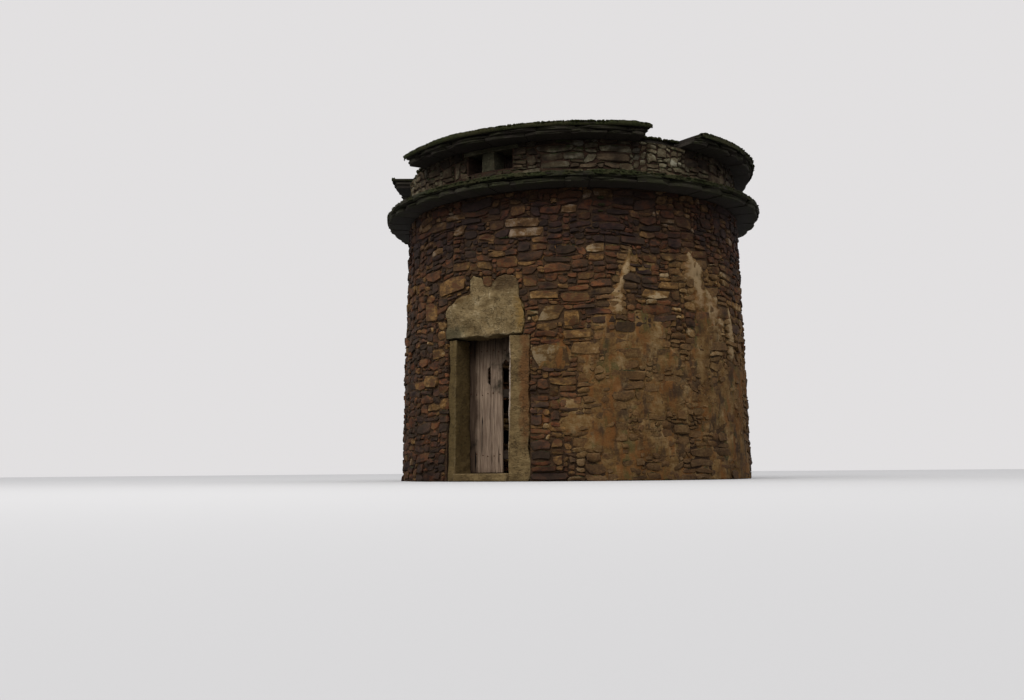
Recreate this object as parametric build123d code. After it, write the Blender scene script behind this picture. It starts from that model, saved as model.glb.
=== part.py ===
from build123d import *

import math
import os

# A round dovecote of rubble stone, roofless, with two projecting rings of slate
# and a small plank door that opens inwards. All sizes are in millimetres.
# The origin is on the ground at the centre of the drum. +Z is up and the door faces -Y.
# A bearing is an angle in degrees from the door, turning towards +X.

# Drum wall
WALL_HEIGHT = 3620  # ground to the underside of the lower cornice
WALL_TOP_RADIUS = 2340  # outer face, under the lower cornice
WALL_BATTER = 0.026  # outward lean of the outer face for each unit of depth below its top
WALL_THICKNESS = 570  # at its top
BAY_ANGLE = 30  # one plain segment of the wall
FRONT_HALF_ANGLE = 45  # the wall beside the doorway ends at this bearing on each side
FLOOR_THICKNESS = 100
FLOOR_JOINT = 0.3  # open joint between the floor and the wall

# Lower cornice, upper wall and upper cornice
LOWER_CORNICE_PROJECTION = 350  # beyond the drum under it
LOWER_CORNICE_THICKNESS = 130
UPPER_WALL_SETBACK = 20  # of its outer face, behind the drum's under the lower cornice
UPPER_WALL_THICKNESS = 470
UPPER_WALL_HEIGHT = 495
UPPER_CORNICE_PROJECTION = 310  # beyond the upper wall
UPPER_CORNICE_INNER_PROJECTION = 50  # of its inner edge, over the room
UPPER_CORNICE_THICKNESS = 165
QUARTER_BEARINGS = [(-45, 45), (45, 135), (135, 225), (225, 315)]
QUARTER_NAMES = ["front", "right", "back", "left"]
# The upper cornice has lost its projecting slabs at two places.
UPPER_CORNICE_ARCS = {
    "front_left": (-31, 9),
    "front_right": (9, 52),
    "right": (66, 135),
    "back": (135, 225),
    "left": (225, 306),
}
BROKEN_ARCS = [(52, 66), (306, 329)]
BROKEN_SLAB_SETBACK = 30  # of the broken edge, behind the upper wall's outer face
BROKEN_SLAB_THICKNESS = 90

# Flight holes in the upper wall
FLIGHT_SILL_RISE = 184  # above the lower cornice
FLIGHT_HOLE_HEIGHT = 250
LEFT_FLIGHT_HOLE = (-231, -20)
RIGHT_FLIGHT_HOLE = (171, 429)
FLIGHT_LINTEL_SEAT = 90
MULLION_DEPTH = 260

# Nest holes in the inner face
NEST_WIDTH = 190
NEST_HEIGHT = 200
NEST_DEPTH = 260
NEST_ROWS = 6
NEST_FIRST_SILL = 560
NEST_ROW_RISE = 480
NEST_HALF_SPACING = 231  # from a segment's middle line to the middle of each nest hole

# Doorway
OPENING_WIDTH = 790
SILL_HEIGHT = 100
DOOR_HEAD = 1800
JAMB_DEPTH = 300  # behind the drum's top radius, to the face that the door shuts against
INNER_HEAD = 1850
SPLAY_ANGLE = 12
LEFT_JAMB_WIDTH = 145
RIGHT_JAMB_WIDTH = 285
OVER_DOOR_INSET = 20  # of the wall over the door, inside the reveals under it
SILL_PROUD = 10

# Door lintel, one rough slab on edge
LINTEL_SEAT = 215  # of its end, on the wall beside the opening
LINTEL_HEIGHT = 800
LINTEL_PROUD = 25
# Outline from the lower left corner, in shares of the half width and of the height.
LINTEL_OUTLINE = [
    (-0.96, 0.0),
    (0.95, 0.0),
    (1.0, 0.2),
    (1.0, 0.34),
    (0.97, 0.46),
    (0.88, 0.62),
    (0.87, 0.84),
    (0.78, 0.94),
    (0.57, 0.99),
    (0.34, 0.92),
    (0.16, 0.8),
    (0.02, 0.96),
    (-0.2, 1.0),
    (-0.31, 0.93),
    (-0.29, 0.71),
    (-0.63, 0.66),
    (-0.88, 0.54),
    (-1.0, 0.42),
    (-0.98, 0.19),
]
INNER_LINTEL_SEAT = 180  # of its end, beyond the inner opening
INNER_LINTEL_HEIGHT = 140

# Door leaf
LEAF_OVERLAP = 40  # of the leaf over the wall, at each side of the opening
LEAF_SIDE_GAP = 35  # from the leaf to the reveal beside it
LEAF_TOP_GAP = 10
LEAF_FLOOR_GAP = 8
LEAF_REBATE_GAP = 6
PLANK_THICKNESS = 30
PLANK_GAP = 3
PLANK_SHARES = [172, 168, 178, 176, 164]  # of the leaf's width, in proportion
BROKEN_PLANK = 4  # its lower part is gone
BROKEN_PLANK_END = 1480
BREAK_RISE = 60
ROTTED_PLANK = 2
ROT_WIDTH = 42
ROT_BOTTOM = 1210
ROT_TOP = 1470
LEDGE_HEIGHTS = [330, 1110, 1650]
LEDGE_WIDTH = 110
LEDGE_THICKNESS = 30
LEDGE_END_INSET = 10
LOCK_SIZE = (120, 35, 90)
LOCK_HEIGHT = 960
LOCK_EDGE_INSET = 20

# Hinges
STRAP_HEIGHTS = [330, 1650]
STRAP_LENGTH = 690
STRAP_WIDTH = 40
STRAP_THICKNESS = 6
PIN_OFFSET = 17  # from the edge of the leaf to the hinge axis
PIN_RADIUS = 8
PIN_RUNNING_CLEARANCE = 0.05
EYE_WALL = 7
PIN_TOP_LENGTH = 10  # of the pin above the eye
EYE_SEAT_GAP = 0.3
SPIKE_SIDE = 16
SPIKE_EMBEDMENT = 90

CUT_OVERRUN = 1  # of a cut, past the face that it opens

# Worked out from the sizes above
WALL_BASE_RADIUS = WALL_TOP_RADIUS + WALL_BATTER * WALL_HEIGHT
ROOM_RADIUS = WALL_TOP_RADIUS - WALL_THICKNESS
LOWER_CORNICE_RADIUS = WALL_TOP_RADIUS + LOWER_CORNICE_PROJECTION
UPPER_WALL_RADIUS = WALL_TOP_RADIUS - UPPER_WALL_SETBACK
UPPER_CORNICE_RADIUS = UPPER_WALL_RADIUS + UPPER_CORNICE_PROJECTION
BROKEN_SLAB_RADIUS = UPPER_WALL_RADIUS - BROKEN_SLAB_SETBACK
REBATE_DEPTH = WALL_TOP_RADIUS - JAMB_DEPTH  # from the centre, as the distances below
LOWER_CORNICE_TOP = WALL_HEIGHT + LOWER_CORNICE_THICKNESS
UPPER_WALL_TOP = LOWER_CORNICE_TOP + UPPER_WALL_HEIGHT
UPPER_WALL_INNER_RADIUS = UPPER_WALL_RADIUS - UPPER_WALL_THICKNESS
UPPER_CORNICE_INNER_RADIUS = UPPER_WALL_INNER_RADIUS - UPPER_CORNICE_INNER_PROJECTION
FLIGHT_SILL = LOWER_CORNICE_TOP + FLIGHT_SILL_RISE
FLIGHT_HEAD = FLIGHT_SILL + FLIGHT_HOLE_HEIGHT
LEAF_WIDTH = OPENING_WIDTH + 2 * LEAF_OVERLAP
INNER_OPENING_WIDTH = LEAF_WIDTH + 2 * LEAF_SIDE_GAP
LEAF_TOP = INNER_HEAD - LEAF_TOP_GAP
LEAF_FRONT = REBATE_DEPTH - LEAF_REBATE_GAP
PLANK_BACK = LEAF_FRONT - PLANK_THICKNESS
LEDGE_BACK = PLANK_BACK - LEDGE_THICKNESS
LEAF_BOTTOM = SILL_HEIGHT + LEAF_FLOOR_GAP
PIN_X = -LEAF_WIDTH / 2 - PIN_OFFSET
PIN_Y = -LEDGE_BACK + STRAP_THICKNESS / 2
NEST_BACK = ROOM_RADIUS + NEST_DEPTH
FAR = 2 * LOWER_CORNICE_RADIUS  # longer than any part of the building


def block(x_range, y_range, z_range):
    """A box between the two values of each range."""
    sizes = [high - low for low, high in (x_range, y_range, z_range)]
    middles = [(low + high) / 2 for low, high in (x_range, y_range, z_range)]
    return Pos(*middles) * Box(*sizes)


def outline_slab(points, y_range):
    """A slab with an outline of (x, z) points, between two distances along Y."""
    face = make_face(Polyline(*[(x, y_range[0], z) for x, z in points], close=True))
    return extrude(face, amount=y_range[1] - y_range[0], dir=(0, 1, 0))


def ring_sector(profile, start, end):
    """A profile of (radius, height) points turned about the centre between two bearings."""
    face = make_face(Polyline(*[(radius, 0, height) for radius, height in profile], close=True))
    return Rot(0, 0, start - 90) * revolve(face, Axis.Z, end - start)


def wall_radius(height):
    """Radius of the drum's outer face at a height."""
    return WALL_TOP_RADIUS + WALL_BATTER * (WALL_HEIGHT - height)


def wall_sector(start, end, proud=0):
    """The drum wall between two bearings, its outer face moved out by proud."""
    profile = [
        (ROOM_RADIUS, 0),
        (WALL_BASE_RADIUS + proud, 0),
        (WALL_TOP_RADIUS + proud, WALL_HEIGHT),
        (ROOM_RADIUS, WALL_HEIGHT),
    ]
    return ring_sector(profile, start, end)


def flat_sector(inner, outer, bottom, top, start, end):
    """A level ring between two radii, two heights and two bearings."""
    profile = [(inner, bottom), (outer, bottom), (outer, top), (inner, top)]
    return ring_sector(profile, start, end)


def nest_column(wall, middle, side, rows):
    """The masonry of a wall at one column of nest holes: its back, and the blocks round the holes."""
    offset = side * NEST_HALF_SPACING
    across = (offset - NEST_WIDTH / 2, offset + NEST_WIDTH / 2)
    column = wall & (Rot(0, 0, middle) * block(across, (-FAR, 0), (0, FAR)))
    behind = Rot(0, 0, middle) * block((-FAR, FAR), (-FAR, -NEST_BACK), (0, FAR))
    masonry = [column & behind]
    inner = column - behind
    bottom = 0
    for row in rows:
        sill = NEST_FIRST_SILL + row * NEST_ROW_RISE
        masonry.append(inner & block((-FAR, FAR), (-FAR, FAR), (bottom, sill)))
        bottom = sill + NEST_HEIGHT
    masonry.append(inner & block((-FAR, FAR), (-FAR, FAR), (bottom, WALL_HEIGHT)))
    return masonry


def wall_with_nest_holes(wall, middle, left_rows, right_rows):
    """A wall as upright piers, with a column of nest holes on each side of the middle pier."""
    half_pier = NEST_HALF_SPACING - NEST_WIDTH / 2
    outer_edge = NEST_HALF_SPACING + NEST_WIDTH / 2
    masonry = []
    for edges in ((-FAR, -outer_edge), (-half_pier, half_pier), (outer_edge, FAR)):
        masonry.append(wall & (Rot(0, 0, middle) * block(edges, (-FAR, 0), (0, FAR))))
    masonry += nest_column(wall, middle, -1, left_rows)
    masonry += nest_column(wall, middle, 1, right_rows)
    return Compound([solid for piece in masonry if piece for solid in piece.solids()])


def wall_segments():
    """The plain segments of the drum wall, each with its nest holes."""
    rows = range(NEST_ROWS)
    middle = FRONT_HALF_ANGLE + BAY_ANGLE / 2
    sector = wall_sector(FRONT_HALF_ANGLE, FRONT_HALF_ANGLE + BAY_ANGLE)
    plain = wall_with_nest_holes(sector, middle, rows, rows)
    count = round((360 - 2 * FRONT_HALF_ANGLE) / BAY_ANGLE)
    return {f"drum_wall_{number + 1}": Rot(0, 0, number * BAY_ANGLE) * plain for number in range(count)}


def doorway():
    """The hollow of the doorway: straight outside the rebate, splayed inside it."""
    half_outer = OPENING_WIDTH / 2
    outer = block((-half_outer, half_outer), (-FAR, -REBATE_DEPTH), (-CUT_OVERRUN, DOOR_HEAD))
    half_inner = INNER_OPENING_WIDTH / 2
    reach = REBATE_DEPTH - ROOM_RADIUS / 2
    half_room = half_inner + reach * math.tan(math.radians(SPLAY_ANGLE))
    plan = [
        (-half_inner, -REBATE_DEPTH),
        (half_inner, -REBATE_DEPTH),
        (half_room, -REBATE_DEPTH + reach),
        (-half_room, -REBATE_DEPTH + reach),
    ]
    face = make_face(Polyline(*[(x, y, -CUT_OVERRUN) for x, y in plan], close=True))
    inner = extrude(face, amount=INNER_HEAD + CUT_OVERRUN, dir=(0, 0, 1))
    return outer, inner


def door_lintel():
    """The rough slab over the doorway, and the straight-sided seat that it fills."""
    half_width = OPENING_WIDTH / 2 + LINTEL_SEAT
    outline = [(x * half_width, DOOR_HEAD + z * LINTEL_HEIGHT) for x, z in LINTEL_OUTLINE]
    seat = outline_slab(outline, (-FAR, -REBATE_DEPTH))
    body = wall_sector(-FRONT_HALF_ANGLE, FRONT_HALF_ANGLE, LINTEL_PROUD)
    return body & seat, seat


def inner_lintel():
    """The timber beam that carries the wall behind the door lintel, cut to the curve of the room."""
    half_length = INNER_OPENING_WIDTH / 2 + INNER_LINTEL_SEAT
    heights = (INNER_HEAD, INNER_HEAD + INNER_LINTEL_HEIGHT)
    return block((-half_length, half_length), (-REBATE_DEPTH, 0), heights) - Cylinder(ROOM_RADIUS, FAR)


def pintle_spikes():
    """The square spikes that hold the hinge pins in the left reveal."""
    spikes = []
    for height in STRAP_HEIGHTS:
        top = height - STRAP_WIDTH / 2 - EYE_SEAT_GAP
        reveal = -INNER_OPENING_WIDTH / 2 - (PIN_Y + REBATE_DEPTH) * math.tan(math.radians(SPLAY_ANGLE))
        across = (reveal - SPIKE_EMBEDMENT, PIN_X + SPIKE_SIDE / 2)
        depth = (PIN_Y - SPIKE_SIDE / 2, PIN_Y + SPIKE_SIDE / 2)
        spikes.append(block(across, depth, (top - SPIKE_SIDE, top)))
    return spikes


def front_wall():
    """The wall round the doorway, with its jamb stones and lintels."""
    outer_void, inner_void = doorway()
    lintel, lintel_seat = door_lintel()
    beam = inner_lintel()
    front = wall_sector(-FRONT_HALF_ANGLE, FRONT_HALF_ANGLE)
    front = front - outer_void - inner_void - lintel_seat - beam
    for spike in pintle_spikes():
        front -= spike
    half_opening = OPENING_WIDTH / 2
    half_over = INNER_OPENING_WIDTH / 2 - OVER_DOOR_INSET
    outside = (-FAR, -REBATE_DEPTH)
    over_door = block((-half_over, half_over), (-FAR, 0), (DOOR_HEAD, FAR))
    all_rows = range(NEST_ROWS)
    high_rows = rows_above(INNER_HEAD + INNER_LINTEL_HEIGHT)
    top_rows = rows_above(DOOR_HEAD + LINTEL_HEIGHT)
    pieces = {"door_lintel": lintel, "inner_lintel": beam}
    pieces["wall_over_door"] = wall_with_nest_holes(front & over_door, 0, top_rows, top_rows)
    for name, side, jamb_width in (("left", -1, LEFT_JAMB_WIDTH), ("right", 1, RIGHT_JAMB_WIDTH)):
        jamb_edges = sorted((side * half_opening, side * (half_opening + jamb_width)))
        jamb = front & block(jamb_edges, outside, (0, DOOR_HEAD))
        wall = (front & block(sorted((0, side * FAR)), (-FAR, 0), (0, FAR))) - over_door - jamb
        middle = side * (FRONT_HALF_ANGLE - BAY_ANGLE / 2)
        left_rows = high_rows if side > 0 else all_rows
        right_rows = all_rows if side > 0 else high_rows
        pieces[f"{name}_jamb_stone"] = jamb
        pieces[f"wall_{name}_of_door"] = wall_with_nest_holes(wall, middle, left_rows, right_rows)
    return pieces


def rows_above(height):
    """The rows of nest holes whose sills are above a height."""
    return [row for row in range(NEST_ROWS) if NEST_FIRST_SILL + row * NEST_ROW_RISE > height]


def door_sill():
    """The stone under the doorway, as wide as the opening it fills."""
    outer_void, inner_void = doorway()
    front_edge = block((-FAR, FAR), (-wall_radius(0) - SILL_PROUD, 0), (0, SILL_HEIGHT))
    room = Cylinder(ROOM_RADIUS, FAR)
    return ((outer_void + inner_void) & front_edge) - room


def floor():
    """The floor of the room."""
    return Pos(0, 0, FLOOR_THICKNESS / 2) * Cylinder(ROOM_RADIUS - FLOOR_JOINT, FLOOR_THICKNESS)


def lower_cornice():
    """The lower ring of slate, in quarters."""
    return {
        f"lower_cornice_{name}": flat_sector(
            ROOM_RADIUS, LOWER_CORNICE_RADIUS, WALL_HEIGHT, LOWER_CORNICE_TOP, *bearings
        )
        for name, bearings in zip(QUARTER_NAMES, QUARTER_BEARINGS)
    }


def upper_wall():
    """The short wall between the cornices, with two flight holes over the door."""
    pieces = {}
    for name, bearings in zip(QUARTER_NAMES, QUARTER_BEARINGS):
        pieces[f"upper_wall_{name}"] = flat_sector(
            UPPER_WALL_INNER_RADIUS, UPPER_WALL_RADIUS, LOWER_CORNICE_TOP, UPPER_WALL_TOP, *bearings
        )
    body = pieces["upper_wall_front"]
    mullion_edges = (LEFT_FLIGHT_HOLE[1], RIGHT_FLIGHT_HOLE[0])
    hole_heights = (FLIGHT_SILL, FLIGHT_HEAD)
    mullion_depth = (-FAR, -UPPER_WALL_RADIUS + MULLION_DEPTH)
    mullion_seat = block(mullion_edges, mullion_depth, hole_heights)
    lintel_edges = (
        LEFT_FLIGHT_HOLE[0] - FLIGHT_LINTEL_SEAT,
        RIGHT_FLIGHT_HOLE[1] + FLIGHT_LINTEL_SEAT,
    )
    lintel_seat = block(lintel_edges, (-FAR, 0), (FLIGHT_HEAD, UPPER_WALL_TOP))
    pieces["flight_hole_mullion"] = body & mullion_seat
    pieces["flight_hole_lintel"] = body & lintel_seat
    front = body - mullion_seat - lintel_seat
    for edges in (LEFT_FLIGHT_HOLE, RIGHT_FLIGHT_HOLE):
        front -= block(edges, (-FAR, 0), hole_heights)
    pieces["upper_wall_front"] = front
    return pieces


def upper_cornice():
    """What is left of the upper ring of slate, and the stubs where its edge broke off."""
    pieces = {
        f"upper_cornice_{name}": flat_sector(
            UPPER_CORNICE_INNER_RADIUS,
            UPPER_CORNICE_RADIUS,
            UPPER_WALL_TOP,
            UPPER_WALL_TOP + UPPER_CORNICE_THICKNESS,
            *bearings,
        )
        for name, bearings in UPPER_CORNICE_ARCS.items()
    }
    stubs = [
        flat_sector(
            UPPER_CORNICE_INNER_RADIUS,
            BROKEN_SLAB_RADIUS,
            UPPER_WALL_TOP,
            UPPER_WALL_TOP + BROKEN_SLAB_THICKNESS,
            *bearings,
        )
        for bearings in BROKEN_ARCS
    ]
    pieces["broken_cornice_stubs"] = Compound(stubs)
    return pieces


def door_planks():
    """The upright planks of the door, one broken short and one rotted at its edge."""
    planks = {}
    left = -LEAF_WIDTH / 2
    depth = (-LEAF_FRONT, -PLANK_BACK)
    wood_width = LEAF_WIDTH - PLANK_GAP * (len(PLANK_SHARES) - 1)
    for number, share in enumerate(PLANK_SHARES, start=1):
        right = left + wood_width * share / sum(PLANK_SHARES)
        if number == BROKEN_PLANK:
            plank = outline_slab(broken_outline(left, right), depth)
        else:
            plank = block((left, right), depth, (LEAF_BOTTOM, LEAF_TOP))
        if number == ROTTED_PLANK:
            plank -= outline_slab(rot_outline(right), depth)
        planks[f"door_plank_{number}"] = plank
        left = right + PLANK_GAP
    return planks


def broken_outline(left, right):
    """The outline of the plank that broke off, with a splintered lower end."""
    width = right - left
    return [
        (left, LEAF_TOP),
        (left, BROKEN_PLANK_END),
        (left + width * 0.3, BROKEN_PLANK_END + BREAK_RISE),
        (left + width * 0.5, BROKEN_PLANK_END + BREAK_RISE / 3),
        (left + width * 0.8, BROKEN_PLANK_END + BREAK_RISE),
        (right, BROKEN_PLANK_END + BREAK_RISE / 2),
        (right, LEAF_TOP),
    ]


def rot_outline(edge):
    """The outline of the rotted hollow in a plank's right edge."""
    return [
        (edge + PLANK_GAP, ROT_BOTTOM),
        (edge + PLANK_GAP, ROT_TOP),
        (edge - ROT_WIDTH, ROT_TOP - ROT_WIDTH),
        (edge - ROT_WIDTH, ROT_BOTTOM + ROT_WIDTH),
    ]


def door_ledges():
    """The three battens across the back of the planks."""
    half = LEAF_WIDTH / 2 - LEDGE_END_INSET
    ledges = [
        block((-half, half), (-PLANK_BACK, -LEDGE_BACK), (z - LEDGE_WIDTH / 2, z + LEDGE_WIDTH / 2))
        for z in LEDGE_HEIGHTS
    ]
    return Compound(ledges)


def lock_case():
    """The iron lock on the back of the last plank."""
    width, thickness, height = LOCK_SIZE
    right = LEAF_WIDTH / 2 - LOCK_EDGE_INSET
    depth = (-PLANK_BACK, -PLANK_BACK + thickness)
    return block((right - width, right), depth, (LOCK_HEIGHT - height / 2, LOCK_HEIGHT + height / 2))


def strap_hinges():
    """The two iron straps, each with an eye that turns on its pin."""
    straps = []
    for height in STRAP_HEIGHTS:
        heights = (height - STRAP_WIDTH / 2, height + STRAP_WIDTH / 2)
        depth = (PIN_Y - STRAP_THICKNESS / 2, PIN_Y + STRAP_THICKNESS / 2)
        eye = Pos(PIN_X, PIN_Y, height) * Cylinder(PIN_RADIUS + EYE_WALL, STRAP_WIDTH)
        bore = Pos(PIN_X, PIN_Y, height) * Cylinder(PIN_RADIUS + PIN_RUNNING_CLEARANCE, STRAP_WIDTH)
        strap = block((PIN_X, PIN_X + STRAP_LENGTH), depth, heights)
        straps.append(strap + eye - bore)
    return Compound(straps)


def hinge_pintles():
    """The two iron pins with their spikes, which stay in the wall."""
    pintles = []
    for height, spike in zip(STRAP_HEIGHTS, pintle_spikes()):
        bottom = height - STRAP_WIDTH / 2 - EYE_SEAT_GAP - SPIKE_SIDE
        top = height + STRAP_WIDTH / 2 + PIN_TOP_LENGTH
        pin = Pos(PIN_X, PIN_Y, (bottom + top) / 2) * Cylinder(PIN_RADIUS, top - bottom)
        pintles.append(spike + pin)
    return Compound(pintles)


def all_pieces():
    """Every piece of the dovecote by its name."""
    pieces = {"floor": floor(), "door_sill": door_sill()}
    pieces.update(wall_segments())
    pieces.update(front_wall())
    pieces.update(lower_cornice())
    pieces.update(upper_wall())
    pieces.update(upper_cornice())
    pieces.update(door_planks())
    pieces["door_ledges"] = door_ledges()
    pieces["lock_case"] = lock_case()
    pieces["strap_hinges"] = strap_hinges()
    pieces["hinge_pintles"] = hinge_pintles()
    return pieces


os.makedirs("parts", exist_ok=True)
for piece_name, piece in all_pieces().items():
    export_step(piece, f"parts/{piece_name}.step")
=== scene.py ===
import math
import random

import bmesh
import bpy
import numpy as np
from mathutils import Matrix, Vector, noise


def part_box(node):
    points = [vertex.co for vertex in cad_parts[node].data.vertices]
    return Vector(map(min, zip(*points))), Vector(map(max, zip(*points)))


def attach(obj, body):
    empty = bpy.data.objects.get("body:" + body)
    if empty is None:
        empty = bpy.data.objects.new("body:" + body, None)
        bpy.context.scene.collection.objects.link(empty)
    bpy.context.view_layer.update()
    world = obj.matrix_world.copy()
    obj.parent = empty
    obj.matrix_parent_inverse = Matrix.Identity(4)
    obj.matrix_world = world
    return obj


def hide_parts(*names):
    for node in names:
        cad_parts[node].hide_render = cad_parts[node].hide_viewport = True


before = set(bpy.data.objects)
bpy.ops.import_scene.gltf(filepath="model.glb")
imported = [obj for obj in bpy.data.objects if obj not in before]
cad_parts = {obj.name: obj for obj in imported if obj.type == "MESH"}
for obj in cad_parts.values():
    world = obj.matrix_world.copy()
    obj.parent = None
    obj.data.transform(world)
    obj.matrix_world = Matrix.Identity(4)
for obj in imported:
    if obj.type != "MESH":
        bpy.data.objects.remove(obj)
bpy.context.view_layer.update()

# Sizes are in metres. The drum stands on the origin and the door faces -Y. A bearing is an
# angle from the door, turning towards +X.

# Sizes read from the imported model
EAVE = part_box("lower_cornice_front")[0][2]  # underside of the lower ring
RING_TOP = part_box("lower_cornice_front")[1][2]
WALL_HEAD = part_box("upper_wall_front")[1][2]
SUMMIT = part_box("upper_cornice_front_left")[1][2]
BASE_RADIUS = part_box("drum_wall_5")[1][1]
UPPER_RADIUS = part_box("upper_wall_back")[1][1]
LOWER_RING_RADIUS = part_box("lower_cornice_back")[1][1]
UPPER_RING_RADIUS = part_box("upper_cornice_back")[1][1]
FLOOR_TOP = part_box("floor")[1][2]
ROOM_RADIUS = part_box("floor")[1][0]
DOOR_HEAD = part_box("door_lintel")[0][2]
LINTEL_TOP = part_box("door_lintel")[1][2]
INNER_BEAM_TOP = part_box("inner_lintel")[1][2]

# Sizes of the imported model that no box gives
TOP_RADIUS = 2.34  # outer face of the drum wall under the lower ring
UPPER_INNER_RADIUS = 1.85
UPPER_RING_INNER_RADIUS = 1.80
FLIGHT_HOLES = [(-0.231, -0.02), (0.171, 0.429)]
HALF_DOORWAY = 0.395
HALF_REBATE = 0.47
REBATE = 2.04  # where the reveal starts to splay, from the middle of the room
SPLAY = math.tan(math.radians(12))
NEST_BAY = 30  # degrees from one pair of nest holes to the next
NEST_HALF_SPACING = 0.231
NEST_WIDTH = 0.19
NEST_HEIGHT = 0.2
NEST_SILLS = [0.56 + 0.48 * row for row in range(6)]
LEDGE_HEIGHTS = (0.33, 1.11, 1.65)  # of the door
FULL_TURN = 360

# The arcs of slate in each layer of a ring, from the bottom up
LOWER_LAYERS = [[(0, 360)], [(4, 364)]]
UPPER_LAYERS = [
    [(-29.6, 50.4), (66, 305.0)],
    [(-30.4, 51.3), (67.4, 305.5)],
    [(-31, 52), (69.2, 306)],
]
STUB_ARCS = [(52, 66), (306, 329)]

BODY = "tower"
SHARP_EDGE = 34  # degrees between faces from which an edge shows as sharp


# Places

def polar(radius, bearing, height):
    """The point at a radius, a bearing in degrees and a height."""
    angle = math.radians(bearing)
    return Vector((radius * math.sin(angle), -radius * math.cos(angle), height))


def drum_radius(height):
    """Radius of the drum's outer face at a height."""
    return TOP_RADIUS + (BASE_RADIUS - TOP_RADIUS) * (EAVE - height) / EAVE


def smooth_field(seed, waves, reach, count=7):
    """A smooth random field on the drum, of a bearing in radians and a height, from -1 to 1."""
    rng = random.Random(seed)
    terms = [
        (rng.randint(1, waves), rng.uniform(-reach, reach), rng.uniform(0, math.tau))
        for _ in range(count)
    ]

    def field(angle, height):
        total = 0
        for turns, rise, phase in terms:
            total = total + np.sin(turns * angle + rise * height + phase)
        return total / count * 1.6

    return field


def ramp(value, start, end):
    """0 at the start and 1 at the end, smoothly."""
    share = np.clip((value - start) / (end - start), 0, 1)
    return share * share * (3 - 2 * share)


# Pieces

def keep_between(shape, bottom, top):
    """Keeps a shape's corners between two heights."""
    for vert in shape.verts:
        vert.co.z = min(max(vert.co.z, bottom), top)


def to_mesh(shape, name, places=None):
    """The mesh of a finished shape, with its corners moved where places are given."""
    mesh = bpy.data.meshes.new(name)
    shape.to_mesh(mesh)
    shape.free()
    if places is not None:
        mesh.vertices.foreach_set("co", places.ravel())
        mesh.update()
    return mesh


def set_attribute(mesh, name, kind, values):
    """Gives each corner of a mesh its own value or colour."""
    layer = mesh.attributes.new(name, kind, "POINT")
    layer.data.foreach_set("color" if kind == "FLOAT_COLOR" else "value", np.ravel(values))


def add_object(name, data):
    """A new object in the scene."""
    item = bpy.data.objects.new(name, data)
    bpy.context.scene.collection.objects.link(item)
    return item


def add_mesh(name, mesh, material, slot, body=BODY, replaced=(), smooth=True):
    """Makes a finished mesh an object that rides on a body of the frame."""
    mesh.materials.append(MATERIALS[material])
    mesh.polygons.foreach_set("use_smooth", [True] * len(mesh.polygons))
    mesh.set_sharp_from_angle(angle=math.radians(180 if smooth else SHARP_EDGE))
    piece = add_object(name, mesh)
    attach(piece, body)
    if replaced:
        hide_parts(*replaced)
    return piece


def add_piece(name, shape, *options, **more):
    """Makes a finished shape a piece, as add_mesh does."""
    return add_mesh(name, to_mesh(shape, name), *options, **more)


def dress_node(name, material):
    """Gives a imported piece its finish."""
    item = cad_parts[name]
    item.data.materials.clear()
    item.data.materials.append(MATERIALS[material])


# Materials

def plug(socket, value):
    """Joins a value or another socket to a socket, or sets it to a number or a colour."""
    if isinstance(value, Value):
        value = value.socket
    if isinstance(value, bpy.types.NodeSocket):
        socket.id_data.links.new(value, socket)
    else:
        socket.default_value = (*value, 1) if socket.type == "RGBA" else value


class Value:
    """A socket of a shader that can be reckoned with."""

    def __init__(self, socket):
        self.socket = socket

    def maths(self, operation, second=0.0, first=None):
        """The result of a Math node, which takes this value first unless told otherwise."""
        made = self.socket.id_data.nodes.new("ShaderNodeMath")
        made.operation = operation
        plug(made.inputs[0], self if first is None else first)
        plug(made.inputs[1], second)
        return Value(made.outputs[0])

    def __add__(self, other):
        return self.maths("ADD", other)

    def __sub__(self, other):
        return self.maths("SUBTRACT", other)

    def __rsub__(self, other):
        return self.maths("SUBTRACT", self, other)

    def __mul__(self, other):
        return self.maths("MULTIPLY", other)

    def or_more(self, other):
        """The larger of two values."""
        return self.maths("MAXIMUM", other)

    def held(self):
        """The same value, kept from 0 to 1."""
        self.socket.node.use_clamp = True
        return self

    def between(self, low, high, first=0.0, last=1.0):
        """Maps the value from one range to another, smoothly and clamped."""
        made = self.socket.id_data.nodes.new("ShaderNodeMapRange")
        made.interpolation_type = "SMOOTHSTEP"
        for number, value in enumerate((self, low, high, first, last)):
            plug(made.inputs[number], value)
        return Value(made.outputs[0])


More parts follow.
